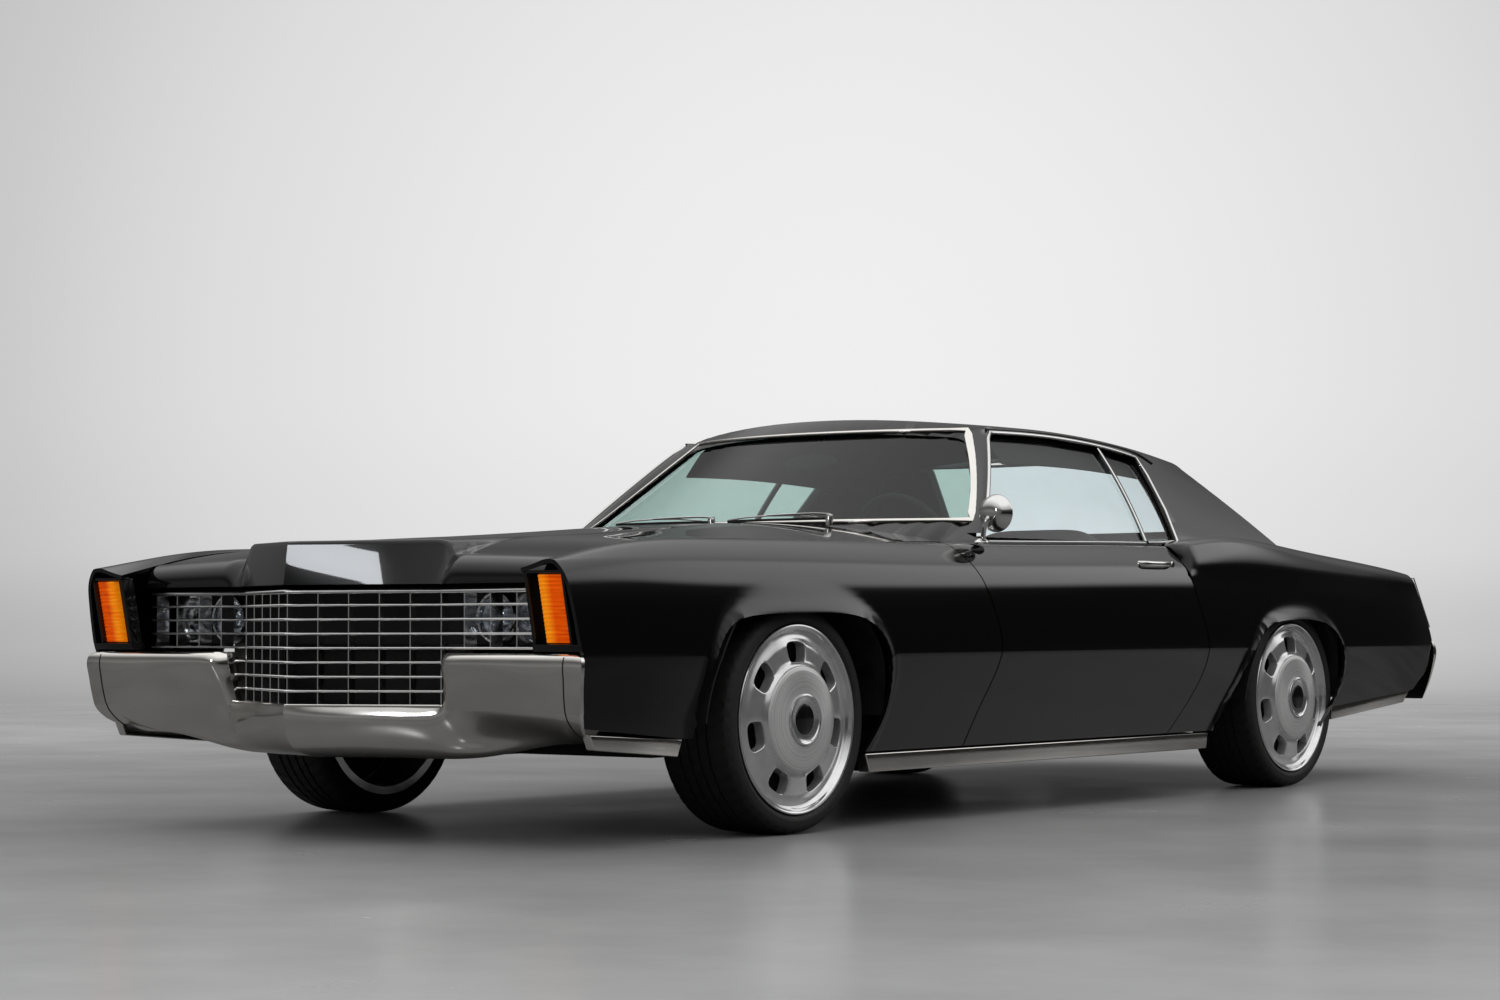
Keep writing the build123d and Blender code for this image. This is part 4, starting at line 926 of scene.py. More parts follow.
def domeSection(y, inset):
    # half section (x, z) from below the belt to the centre plane, reaching lower where it is inset
    beltX, beltZ, railX, railZ, crown = cabinCurve(np.array([y]))[0]
    belt = (beltX - inset * 1.15, beltZ)
    rail = (railX - inset * 1.1, railZ - inset * 0.75)
    edge = (rail[0] - 0.068, rail[1] + 0.033)
    top = (0.0, crown - inset)
    return np.concatenate([
        [(belt[0] + 0.045, 0.70 - inset)],
        bent(belt, rail, ((belt[0] + rail[0]) / 2 + 0.011, (belt[1] + rail[1]) / 2 + 0.007), 10),
        bent(rail, edge, (rail[0] - 0.026, rail[1] + 0.021), 8)[1:],
        bent(edge, top, (edge[0] / 2, edge[1] + (top[1] - edge[1]) * 0.76), 11)[1:],
    ])


def acrossCar(half, y):
    # (x, y, z) of a half section and its mirror image at one station
    full = np.concatenate([half, half[-2::-1] * np.array([-1, 1])])
    return np.stack([full[:, 0], np.full(len(full), y), full[:, 1]], axis=1)


def domeSolid(inset):
    # the whole cabin as one closed dome, longer than the roof, which the screens then cut
    ys = np.linspace(-0.9 - inset * 0.4, 1.7 + inset * 0.4, 50)
    return loftLoops("dome", [acrossCar(domeSection(y, inset), y) for y in ys])


def domeSideX(y, z, inset=0.0):
    # x of the cabin's side at a height
    half = domeSection(y, inset)[1:16]
    return float(np.interp(z, half[:, 1], half[:, 0]))


screens = {
    # centre y and bow (depth, at x) of each screen at z 0.7 and z 1.4
    "front": ((-1.095, 0.177, 0.849), (-0.150, 0.169, 0.582), 1),
    "rear": ((1.901, 0.110, 0.720), (0.963, 0.110, 0.720), -1),
}


def screenPoint(kind, z, s, off=0.0):
    # a point of the bowed screen surface: s runs from -1 to 1 across the car
    low, high, way = screens[kind]
    ends = []
    for centre, bow, bowX in (low, high):
        radius = (bowX ** 2 + bow ** 2) / (2 * bow)
        turn = s * math.asin(1.0 / radius)
        ends.append((radius * math.sin(turn), centre + way * (radius - radius * math.cos(turn))))
    x, y = [a + (b - a) * (z - 0.7) / 0.7 for a, b in zip(*ends)]
    return (x, y + way * off, z)


def screenSolid(kind, offFrom, offTo, zFrom=0.55, zTo=1.43):
    # what lies between two offsets from a screen's surface; a far face more than 1 m off is flat
    loops = []
    for z in (zFrom, zTo):
        nearSide = [screenPoint(kind, z, s, offFrom) for s in np.linspace(-1, 1, 31)]
        farSide = [screenPoint(kind, z, s, offTo)
                   for s in (np.linspace(1, -1, 31) if offTo < 1 else (1, -1))]
        loops.append(np.array(nearSide + farSide))
    return loftLoops("screenSolid", loops)


def cabinShell(inset, screenOff, rearOff):
    # the dome between the windscreen and the rear window
    shell = domeSolid(inset)
    cutWith(shell, screenSolid("front", screenOff, 3.2), "INTERSECT")
    cutWith(shell, screenSolid("rear", rearOff, 3.2), "INTERSECT")
    return shell


def doorTopRoom():
    # the space over the door tops, kept clear of the pillar feet
    xs = np.array([0.793, 0.80, 0.84, 0.88, 0.90, 0.93, 0.97, 1.15])
    loops = []
    for y in np.linspace(-0.92, 0.70, 30):
        c = controls["front"](np.array([y]))[0]
        tops = np.interp(xs, [c[6], c[4], 0.95, 1.0], [c[7], c[5], c[5] - 0.025, c[5] - 0.08]) + 0.0085
        upper = [(x, y, z) for x, z in zip(xs, tops)]
        loops.append(np.array(upper + [(1.15, y, 0.4), (0.793, y, 0.4)]))
    return loftLoops("doorTopRoom", loops)


roof = cabinShell(0.0, 0.0, 0.0)
cutWith(roof, cabinShell(cabinForm["skin"], 0.034, 0.044))
opening = domeSolid(0.052)
cutWith(opening, screenSolid("front", -0.05, 0.07, *cabinForm["screenZ"]), "INTERSECT")
cutWith(roof, opening)
rearOutline = cabinForm["backlight"]
fullOutline = rearOutline + [(-x, z) for x, z in rearOutline[-2:0:-1]]
prism = loftLoops("rearPrism", [np.array([(x, y, z) for x, z in fullOutline]) for y in (0.3, 2.0)])
cutWith(prism, screenSolid("rear", -0.05, 0.12), "INTERSECT")
cutWith(roof, prism)
cutWith(roof, prismAlongX("sideWindows", cabinForm["window"], -1.2, 1.2))
cutWith(roof, doorTopRoom())
mirrorRoom = doorTopRoom()
mirrorRoom.data.transform(flipX)
cutWith(roof, weld(mirrorRoom, 0.00002))
cutWith(roof, boxBetween("below", (-1.2, -1.5, 0.4), (1.2, 2.4, 0.862)))
roof.name = "roofPanel"
finishPiece(smooth(rounded(roof, 0.003, 2, 50), 32), "body", paint, ["roof_panel"])
print("roof made")


paneThickness = 0.005


def screenGrid(name, kind, off, zFrom, zTo, edgeAt):
    # a bowed pane whose half width at each height is given by edgeAt(z) as a share of the surface
    rows, columns = 24, 41
    points = np.zeros((rows, columns, 3))
    for i, z in enumerate(np.linspace(zFrom, zTo, rows)):
        reach = edgeAt(z)
        for j, s in enumerate(np.linspace(-reach, reach, columns)):
            points[i, j] = screenPoint(kind, z, s, off)
    return smooth(thicken(faceOut(fromGrid(name, points), (0, 0.3, 0.9)), paneThickness), 40)


def lastWhere(inside, low):
    # the greatest share up to 0.99 for which the test still holds, by halving
    high = 0.99
    for halving in range(26):
        middle = (low + high) / 2
        if inside(middle):
            low = middle
        else:
            high = middle
    return low


def shareAtEdge(z, inset, off):
    # how far across its surface the windscreen reaches before it meets the cabin's side
    def inside(share):
        x, y, height = screenPoint("front", z, share, off)
        return x < domeSideX(y, z, inset)

    return lastWhere(inside, 0.2)


def backlightShare(z, beyond=0.0):
    # the rear window's slanting side edge
    edgeX = 0.589 + (0.479 - 0.589) * (z - 0.963) / (1.221 - 0.963) + beyond
    return lastWhere(lambda share: screenPoint("rear", z, share)[0] < edgeX, 0.0)


def pillarShare(z, inset, off):
    # the side edge of the windscreen, carried on evenly into its upper corner
    straightFrom, straightTo = 1.16, 1.215
    if z <= straightTo:
        return shareAtEdge(z, inset, off)
    low, high = shareAtEdge(straightFrom, inset, off), shareAtEdge(straightTo, inset, off)
    return high + (high - low) * (z - straightTo) / 0.055


windscreen = screenGrid("windscreenPane", "front", 0.014, 0.949, 1.261,
                        lambda z: pillarShare(z, 0.043, 0.014))
finishPiece(windscreen, "body", tintedGlass, ["windscreen"])

backlight = screenGrid("backlightPane", "rear", 0.014, 0.963, 1.222, backlightShare)
finishPiece(backlight, "body", sideTint, ["rear_window"])


def sideGlass(name, front, over, rear, replaced, body):
    # a pane that follows the cabin's side, between a front and a rear edge given as (y, z) pairs
    rows, columns = 22, 30
    topLine = curveThrough([front[1], over, rear[1]], 6)
    points = np.zeros((rows, columns, 3))
    for j, u in enumerate(np.linspace(0, 1, columns)):
        low = np.array(front[0]) * (1 - u) + np.array(rear[0]) * u
        high = topLine[int(round(u * (len(topLine) - 1)))]
        for i, t in enumerate(np.linspace(0, 1, rows)):
            y, z = low * (1 - t) + high * t
            points[i, j] = (domeSideX(y, z, 0.014), y, z)
    piece = thicken(faceOut(fromGrid(name, points), (0, 0.1, 1.0)), paneThickness)
    bothSides(smooth(piece, 40), body, sideTint, "tinted_glass", replaced)


sideGlass("doorGlassLeft", ((-0.556, 0.886), (-0.178, 1.238)), (0.179, 1.241),
          ((0.458, 0.889), (0.491, 1.225)), "door_glass", "door")
sideGlass("quarterGlassLeft", ((0.470, 0.889), (0.503, 1.224)), (0.62, 1.213),
          ((0.656, 0.905), (0.738, 1.198)), "quarter_glass", "body")
print("glass made")

# bright trim round the cabin


def barSection(width, height, corner):
    # a closed section with cut corners, centred on the path
    a, b = width / 2, height / 2
    c = min(a, b) * corner
    return np.array([(-a + c, -b), (a - c, -b), (a, -b + c), (a, b - c), (a - c, b), (-a + c, b),
                     (-a, b - c), (-a, -b + c)])


def sweptBar(name, path, width, height, up, corner=0.3, section=None, ring=False, widths=None):
    # a bar whose flat top faces up (one direction, or one for each point of the path)
    path = np.asarray(path, float)
    ups = np.broadcast_to(np.asarray(up, float), path.shape)
    profile = barSection(width, height, corner) if section is None else np.asarray(section)
    ahead = np.roll(path, -1, axis=0) - np.roll(path, 1, axis=0) if ring else np.gradient(path, axis=0)
    ahead /= np.linalg.norm(ahead, axis=1, keepdims=True)
    side = np.cross(ahead, ups)
    side /= np.linalg.norm(side, axis=1, keepdims=True)
    over = np.cross(side, ahead)
    scales = np.ones(len(path)) if widths is None else widths
    loops = [path[i] + profile[:, :1] * side[i] * scales[i] + profile[:, 1:] * over[i]
             for i in range(len(path))]
    if ring:
        loops.append(loops[0])
    return loftLoops(name, loops, caps=not ring)


def screenTrim(name, kind, edgeAt, zFrom, zTo, off, width, sideWidth):
    # bright flat frame round a screen, lying on the roof skin, broader up the pillars
    upPoints, acrossPoints = 16, 20
    side = [(z, edgeAt(z)) for z in np.linspace(zFrom, zTo, upPoints)]
    low, top = side[0][1], side[-1][1]
    path = [screenPoint(kind, z, s, off) for z, s in side]
    path += [screenPoint(kind, zTo, s, off) for s in np.linspace(top, -top, acrossPoints + 2)[1:-1]]
    path += [screenPoint(kind, z, -s, off) for z, s in reversed(side)]
    path += [screenPoint(kind, zFrom, s, off) for s in np.linspace(-low, low, acrossPoints + 2)[1:-1]]
    path = np.array(path)
    ups = np.stack([path[:, 0] * 0.55, np.full(len(path), -0.55 * screens[kind][2]),
                    np.full(len(path), 0.72)], axis=1)
    ups /= np.linalg.norm(ups, axis=1, keepdims=True)
    widths = np.full(len(path), width)
    for start in (0, upPoints + acrossPoints):
        widths[start + 1:start + upPoints - 1] = sideWidth
        widths[[start, start + upPoints - 1]] = (width + sideWidth) / 2
    bar = sweptBar(name, path, width, 0.010, ups, 0.45, ring=True, widths=widths / width)
    finishPiece(smooth(bar, 50), "body", bumperChrome)


screenTrim("windscreenTrim", "front", lambda z: pillarShare(z, 0.041, -0.007), 0.944, 1.264, -0.007,
           0.013, 0.028)
screenTrim("backlightTrim", "rear", lambda z: backlightShare(z, 0.004), 0.960, 1.226, 0.0, 0.015, 0.015)


def onCabinSide(points, off):
    return np.array([(domeSideX(y, z) + off, y, z) for y, z in points])


windowLine = curveThrough([(-0.575, 0.888), (-0.40, 1.052), (-0.215, 1.226)], 8)
pillarLoops = []
for z in np.linspace(0.900, 1.262, 16):
    innerX, innerY, height = screenPoint("front", z, pillarShare(z, 0.046, 0.0))
    outerY = float(np.interp(z, windowLine[:, 1], windowLine[:, 0])) + max(0.0, z - 1.226) * 1.05
    outerX = domeSideX(outerY, min(z, 1.222)) - max(0.0, z - 1.222) * 0.9
    # the pillar's plan section: a front face under the bright strip, a rounded corner, and a return behind
    section = [(outerX + dx, outerY + dy, z) for dx, dy in (
        (-0.022, -0.006), (-0.010, -0.004), (-0.002, 0.002), (0.0, 0.009), (-0.008, 0.012))]
    pillarLoops.append(np.array([(innerX, innerY, z)] + section + [
        (innerX + 0.004, innerY + 0.040, z), (innerX - 0.004, innerY + 0.030, z)]))
bothSides(smooth(loftLoops("pillarLeft", pillarLoops), 40), "body", paint, "body_paint")

topLine = curveThrough([(-0.176, 1.252), (-0.05, 1.2545), (0.18, 1.254), (0.51, 1.237), (0.745, 1.210)], 8)
rearLine = [(0.752, 1.203), (0.735, 1.14), (0.700, 1.01), (0.668, 0.895)]
railLine = curveThrough([(-0.180, 1.2628), (-0.08, 1.2655), (0.0, 1.2665), (0.25, 1.266), (0.55, 1.250),
                         (0.80, 1.222), (0.87, 1.19)], 8)
beltLine = []
for y in np.linspace(-0.60, 0.452, 22):
    peakX, peakZ = controls["front"](np.array([y]))[0][4:6]
    beltLine.append((float(peakX) - 0.010, y, float(peakZ) + 0.0045))
quarterLine = [(0.896, 0.466, 0.889), (0.896, 0.54, 0.891), (0.893, 0.60, 0.895), (0.889, 0.662, 0.898)]
dividerLine = curveThrough([(0.452, 0.892), (0.474, 1.06), (0.4975, 1.226)], 8)
sealLine = curveThrough([(0.463, 0.892), (0.485, 1.06), (0.509, 1.226)], 8)
brightLook, paintLook, sealLook = (chrome, "chrome"), (paint, "body_paint"), (softBlack, "dark_plastic")
for name, path, width, height, up, corner, body, look in (
    ("windowTrimLeft", onCabinSide(np.concatenate([windowLine, topLine, rearLine]), 0.001), 0.012, 0.010,
     (0.85, 0, 0.5), 0.45, "body", brightLook),
    ("dripRailLeft", onCabinSide(railLine, 0.002), 0.006, 0.008, (0.6, 0, 0.8), 0.3, "body", paintLook),
    ("beltTrimLeft", beltLine, 0.014, 0.008, (0.2, 0, 1), 0.45, "door", brightLook),
    ("quarterBeltTrimLeft", quarterLine, 0.014, 0.010, (0.2, 0, 1), 0.45, "body", brightLook),
    ("dividerLeft", onCabinSide(dividerLine, -0.008), 0.011, 0.010, (0.9, 0, 0.4), 0.3, "door", brightLook),
    ("sealLeft", onCabinSide(sealLine, -0.012), 0.012, 0.010, (0.9, 0, 0.4), 0.3, "body", sealLook),
):
    bothSides(smooth(sweptBar(name, path, width, height, up, corner), 50), body, *look)
print("cabin trim made")

# bumpers

bumperForm = {
    "tail": 0.012, "tailIn": 0.072,
    # z, then x, y along the front face from the centre out, for the valance and for the blade
    "valance": [
        (0.236, [(0, -2.630), (0.14, -2.588), (0.30, -2.540), (0.417, -2.500), (0.56, -2.478),
                 (0.76, -2.478), (0.900, -2.488)]),
        (0.250, [(0, -2.690), (0.14, -2.642), (0.30, -2.582), (0.417, -2.532), (0.56, -2.500),
                 (0.76, -2.500), (0.922, -2.522)]),
        (0.284, [(0, -2.739), (0.14, -2.688), (0.30, -2.618), (0.415, -2.560), (0.52, -2.512),
                 (0.74, -2.532), (0.950, -2.575)]),
        (0.320, [(0, -2.753), (0.14, -2.703), (0.30, -2.632), (0.414, -2.572), (0.52, -2.534),
                 (0.74, -2.568), (0.970, -2.604)]),
        (0.362, [(0, -2.759), (0.14, -2.706), (0.30, -2.633), (0.413, -2.575), (0.52, -2.560),
                 (0.74, -2.598), (0.982, -2.620)]),
        (0.380, [(0, -2.757), (0.14, -2.700), (0.30, -2.626), (0.413, -2.570), (0.52, -2.570),
                 (0.74, -2.604), (0.985, -2.622)]),
    ],
    "blade": [
        (0.374, [(0.416, -2.556), (0.455, -2.577), (0.56, -2.588), (0.76, -2.606), (0.93, -2.620),
                 (0.984, -2.621)]),
        (0.420, [(0.424, -2.560), (0.462, -2.587), (0.56, -2.597), (0.76, -2.620), (0.93, -2.630),
                 (0.990, -2.629)]),
        (0.465, [(0.432, -2.566), (0.470, -2.602), (0.56, -2.609), (0.76, -2.629), (0.93, -2.636),
                 (0.996, -2.634)]),
        (0.500, [(0.434, -2.572), (0.472, -2.613), (0.56, -2.622), (0.76, -2.632), (0.93, -2.639),
                 (1.000, -2.636)]),
        (0.512, [(0.436, -2.572), (0.474, -2.611), (0.56, -2.620), (0.76, -2.630), (0.93, -2.637),
                 (0.998, -2.634)]),
        (0.522, [(0.440, -2.570), (0.477, -2.607), (0.56, -2.616), (0.76, -2.626), (0.93, -2.633),
                 (0.990, -2.630)]),
        (0.530, [(0.446, -2.564), (0.480, -2.598), (0.56, -2.606), (0.76, -2.616), (0.92, -2.624),
                 (0.967, -2.622)]),
    ],
    "rear": [
        (0.300, [(0, 2.678), (0.40, 2.673), (0.68, 2.662), (0.835, 2.652), (0.905, 2.646)]),
        (0.330, [(0, 2.710), (0.40, 2.703), (0.68, 2.687), (0.850, 2.666), (0.918, 2.650)]),
        (0.360, [(0, 2.733), (0.40, 2.724), (0.68, 2.704), (0.862, 2.676), (0.930, 2.654)]),
        (0.430, [(0, 2.751), (0.40, 2.741), (0.68, 2.719), (0.880, 2.685), (0.950, 2.661)]),
        (0.530, [(0, 2.751), (0.40, 2.741), (0.68, 2.719), (0.880, 2.685), (0.950, 2.661)]),
        (0.545, [(0, 2.745), (0.40, 2.735), (0.68, 2.713), (0.872, 2.680), (0.942, 2.656)]),
    ],
}


def bumperSolid(name, levels, backY, perRow, droop=0.0):
    # a face smoothed through its levels and across, closed by a flat back
    zs = np.array([z for z, front in levels])
    means = [np.mean([y for x, y in front]) for z, front in levels]
    t = np.concatenate([[0], np.cumsum(np.hypot(np.diff(zs), 0.6 * np.diff(means)))])
    net = np.array([[(x, y, z + droop * ease((x - 0.42) / 0.42) * max(0.0, (0.38 - z) / 0.144))
                     for x, y in front] for z, front in levels])
    across = naturalSpline(t / t[-1], net.reshape(len(levels), -1))
    rows = across(np.linspace(0, 1, perRow)).reshape(perRow, -1, 3)
    loops = []
    for row in rows:
        line = naturalSpline(np.linspace(0, 1, net.shape[1]), row)(np.linspace(0, 1, 64))
        endX, endY, endZ = line[-1]
        tailY, tailX = endY + bumperForm["tail"], endX - bumperForm["tailIn"]
        tail = [(endX + 0.001, tailY, endZ), (tailX, tailY, endZ), (tailX, backY, endZ),
                (line[0][0], backY, endZ)]
        if backY > 0:
            tail = [(endX, backY, endZ), (line[0][0], backY, endZ)]
        loops.append(np.concatenate([line, tail]))
    return loftLoops(name, loops)


valance = bumperSolid("frontBumper", bumperForm["valance"], -2.43, 30, 0.05)
blade = bumperSolid("blade", bumperForm["blade"], -2.51, 30)
lipLine = [(x, y + 0.004, 0.3835)
           for x, y in ((0, -2.752), (0.14, -2.698), (0.30, -2.622), (0.418, -2.566))]
lip = sweptBar("lip", lipLine, 0.016, 0.008, (0, 0, 1), 0.45)
whole = joined("frontBumper", [valance, mirroredCopy(valance, "valanceOther")])
frontBumper = joined("frontBumper",
                     [whole, blade, mirroredCopy(blade, "bladeOther"), lip, mirroredCopy(lip, "lipOther")])
finishPiece(smooth(frontBumper, 38), "body", bumperChrome, ["front_bumper"])
seamPath = []
for z in np.linspace(0.522, 0.302, 24):
    x = 0.937 - 0.012 * ease((0.50 - z) / 0.2)
    hit, where, normal, face = frontBumper.ray_cast(Vector((x, -3.2, z)), Vector((0, 1, 0)))
    if hit:
        seamPath.append((x, where.y - 0.0004, z))
seam = sweptBar("seam", seamPath, 0.0022, 0.003, (0, -1, 0.1), 0.2)
seams = joined("bumperSeams", [seam, mirroredCopy(seam, "seamOther")])
finishPiece(smooth(seams, 40), "body", softBlack)
rearBumper = bumperSolid("rearBumper", bumperForm["rear"], 2.643, 24)
rearBumper = joined("rearBumper", [rearBumper, mirroredCopy(rearBumper, "rearBumperOther")])
finishPiece(smooth(rearBumper, 38), "body", bumperChrome, ["rear_bumper"])
print("bumpers made")

# grille

grilleForm = {
    "top": 0.708, "bottom": 0.388, "outerBottom": 0.552, "bars": 9, "height": 0.008, "topHeight": 0.012,
    "prow": (0.0, -2.757), "break": (0.397, -2.550), "end": (0.788, -2.566), "lowEnd": (0.432, -2.5515),
    "behind": 0.012, "slats": 5, "vanes": 4,
    # x of the cheeks that close the corner between the bars and the bumper's ends
    "cheek": (0.404, 0.470),
    # the bar's section as (depth, share of its height), its face leaning back under a rounded nose
    "section": [(0.0110, -0.17), (0.0108, 0.02), (0.0100, 0.26), (0.0085, 0.42), (0.005, 0.5),
                (-0.011, 0.5), (-0.011, -0.5), (0.006, -0.5), (0.0095, -0.40)],
}
prow, bend, barEnd = grilleForm["prow"], grilleForm["break"], grilleForm["end"]
vaneTop = grilleForm["top"] - 0.004
bars = []
for level in range(grilleForm["bars"]):
    drop = level * (grilleForm["top"] - grilleForm["bottom"]) / (grilleForm["bars"] - 1)
    z = grilleForm["top"] - drop - grilleForm["height"] / 2
    tall = grilleForm["height"] if level else grilleForm["topHeight"]
    last = barEnd if z > grilleForm["outerBottom"] - 0.012 else grilleForm["lowEnd"]
    height = z if level else z - 0.002
    line = [(-x, y) for x, y in (last, bend)] + [prow, bend, last]
    path = [(x, y + grilleForm["behind"], height) for x, y in line]
    section = [(out, share * tall) for out, share in grilleForm["section"]]
    bars.append(sweptBar("bar", path, 0.02, tall, (0, 0, 1), section=section))
for k in range(-grilleForm["slats"], grilleForm["slats"] + 1):
    share = abs(k) / grilleForm["slats"]
    x = bend[0] * k / grilleForm["slats"]
    y = prow[1] + (bend[1] - prow[1]) * share + grilleForm["behind"]
    bars.append(boxBetween("slat", (x - 0.002, y, 0.381), (x + 0.002, y + 0.024, vaneTop)))
for side in (1, -1):
    for k in range(1, grilleForm["vanes"] + 1):
        x = side * (bend[0] + (barEnd[0] - bend[0]) * k / grilleForm["vanes"])
        x -= side * (0.004 if k == grilleForm["vanes"] else 0.0)
        bars.append(boxBetween("vane", (x - 0.002, -2.548, 0.546), (x + 0.002, -2.50, vaneTop)))
for side, title in ((1, "Left"), (-1, "Right")):
    xs = sorted(side * x for x in grilleForm["cheek"])
    cheek = rounded(boxBetween("grilleCheek" + title, (xs[0], -2.519, 0.384), (xs[1], -2.511, 0.5545)))
    finishPiece(cheek, "body", softBlack)
finishPiece(smooth(joined("grilleBars", bars), 45), "body", grilleChrome, ["grille"])
print("grille made")

# headlamps and pods

lampForm = {"radius": 0.073, "z": 0.628, "frontY": -2.478, "at": {"outer": 0.702, "inner": 0.544}}


def lampParts():
    # bowl with its bezel, domed lens, clear eye and its shade, of one round lamp facing forward
    r = lampForm["radius"]
    bezel = turned("bezel", [
        (r, 0.088), (r, 0.006), (r - 0.003, 0.0), (r - 0.008, 0.002), (r - 0.009, 0.012),
        (r - 0.010, 0.016), (r - 0.016, 0.03), (r - 0.028, 0.046), (r - 0.044, 0.058), (r - 0.060, 0.064),
        (0, 0.066)])
    dome = turned("lens", [
        (0, -0.004), (0.02, -0.0035), (0.04, -0.001), (r - 0.018, 0.004), (r - 0.0105, 0.009),
        (r - 0.0105, 0.012), (r - 0.018, 0.008), (0.04, 0.003), (0.02, 0.0005), (0, 0.0)])
    eye = turned("eye", [(0, 0.014), (0.012, 0.016), (0.022, 0.022), (0.027, 0.032), (0.027, 0.062),
                         (0, 0.064)])
    shade = turned("shade", [(0.030, 0.030), (0.033, 0.030), (0.033, 0.062), (0.030, 0.062),
                             (0.030, 0.030)])
    return smooth(bezel, 30), smooth(dome, 60), smooth(eye, 40), smooth(shade, 40)


for spot, x in lampForm["at"].items():
    for side, sign in (("left", 1), ("right", -1)):
        bezel, dome, eye, shade = lampParts()
        title = spot + side.capitalize()
        for part in (bezel, dome, eye, shade):
            movedBy(part, (sign * x, lampForm["frontY"], lampForm["z"]))
        eye.name = "projector" + title
        bowl = joined("headlamp" + title, [bezel, shade])
        finishPiece(bowl, "body", lampSilver, [f"headlamp_{spot}_{side}"])
        dome.name = "headlampLens" + title
        finishPiece(dome, "body", lampGlass)
        finishPiece(eye, "body", lampCore)
print("headlamps made")

# wheels and tyres

wheelForm = {
    # radius and distance outboard of the rim's flange plane: the tyre from bead to bead
    "tyre": [
        (0.2660, -0.016), (0.2735, -0.010), (0.2780, -0.003), (0.2830, 0.0015), (0.2900, 0.0045),
        (0.2960, 0.0055), (0.2990, 0.0047), (0.3030, 0.0046), (0.3105, 0.0034), (0.3175, 0.0000),
        (0.3235, -0.0052), (0.3272, -0.012), (0.3298, -0.022), (0.3316, -0.038), (0.3324, -0.056),
    ],
    "tyreWidth": 0.254,
    "grooves": [0.074, 0.109, 0.145, 0.180], "grooveHalf": 0.0045, "grooveDepth": 0.0065,
    "treadRadius": 0.3328, "shoulderSipe": 0.0052, "blockSipe": 0.0036, "windows": 7,
}


def tyreShape():
    # the tread band is cut by four round grooves, and its blocks and shoulders by fine slanted sipes
    form, columns = wheelForm, 240
    width = form["tyreWidth"]
    middle = []
    for groove in form["grooves"]:
        for step, depth in ((-1.6, 0), (-1, 0), (-0.8, 1), (0.8, 1), (1, 0), (1.6, 0)):
            middle.append((form["treadRadius"] - depth * form["grooveDepth"],
                           -groove - step * form["grooveHalf"]))
    middle.insert(12, (0.333, -0.127))
    inner = [(r, -width - a) for r, a in reversed(form["tyre"])]
    bore = [(0.2600, -width + 0.022), (0.2575, -width + 0.036), (0.2570, -0.127), (0.2575, -0.036),
            (0.2600, -0.022)]
    angles = roundAngles(columns)
    loops = []
    for r, a in form["tyre"] + middle + inner + bore:
        radii = np.full(columns, r)
        if r > 0.3225 and abs(r - form["treadRadius"] + form["grooveDepth"]) > 0.001:
            # every fifth column of points drops a little to make a sipe
            shift = int(round(abs(a + width / 2) * 60))
            onShoulder = a > -0.05 or a < -width + 0.046
            sipe = form["shoulderSipe" if onShoulder else "blockSipe"]
            radii[(np.arange(columns) + shift) % 5 == 0] -= sipe
        around = [np.full(columns, a), radii * np.cos(angles), radii * np.sin(angles)]
        loops.append(np.stack(around, axis=1))
    return loops


def spokePlate():
    # seven sectors, each a flat spoke face worked outward in loops from the rim of its rounded window
    step = 2 * math.pi / wheelForm["windows"]
    turn = np.linspace(0, 2 * math.pi, 49)
    p, q = np.cos(turn), np.sin(turn)
    big = np.maximum(np.abs(p), np.abs(q))
    squareU, squareV = p / big, q / big
    edgeR = 0.1985 + squareV * np.where(squareV > 0, 0.0545, 0.0505)
    edgeA = squareU * step / 2
    power = 2 / 4.2
    v = 0.0295 * np.sign(q) * np.abs(q) ** power
    holeR = 0.1955 + v
    holeA = (0.041 + v * 0.16) * np.sign(p) * np.abs(p) ** power / holeR
    dish = ([0.148, 0.157, 0.168, 0.219, 0.228, 0.240, 0.253],
            [0.016, 0.013, 0.002, -0.005, -0.010, -0.0155, -0.0175])
    rows = []
    for s, drop in ((0.0, -0.034), (0.0, -0.0045), (0.012, -0.0016), (0.05, -0.0002), (0.12, 0), (0.3, 0),
                    (0.55, 0), (0.8, 0), (1, 0)):
        r = holeR + (edgeR - holeR) * s
        rows.append(np.stack([np.interp(r, *dish) + drop, holeA + (edgeA - holeA) * s, r], axis=1))
    depth, a, r = np.moveaxis(np.array(rows), 2, 0)
    sectors = []
    for k in range(wheelForm["windows"]):
        turn = a + k * step + math.pi / 2
        sectors.append(fromGrid("sector", np.stack([depth, r * np.cos(turn), r * np.sin(turn)], axis=2)))
    piece = weld(joined("spokes", sectors), 0.00004)
    return smooth(thicken(faceOut(piece, (-1, 0, 0)), 0.004), 38)


tyreLoops = tyreShape()
tyreMaster = smooth(loftLoops("tyre", tyreLoops + tyreLoops[:1], caps=False), 32)
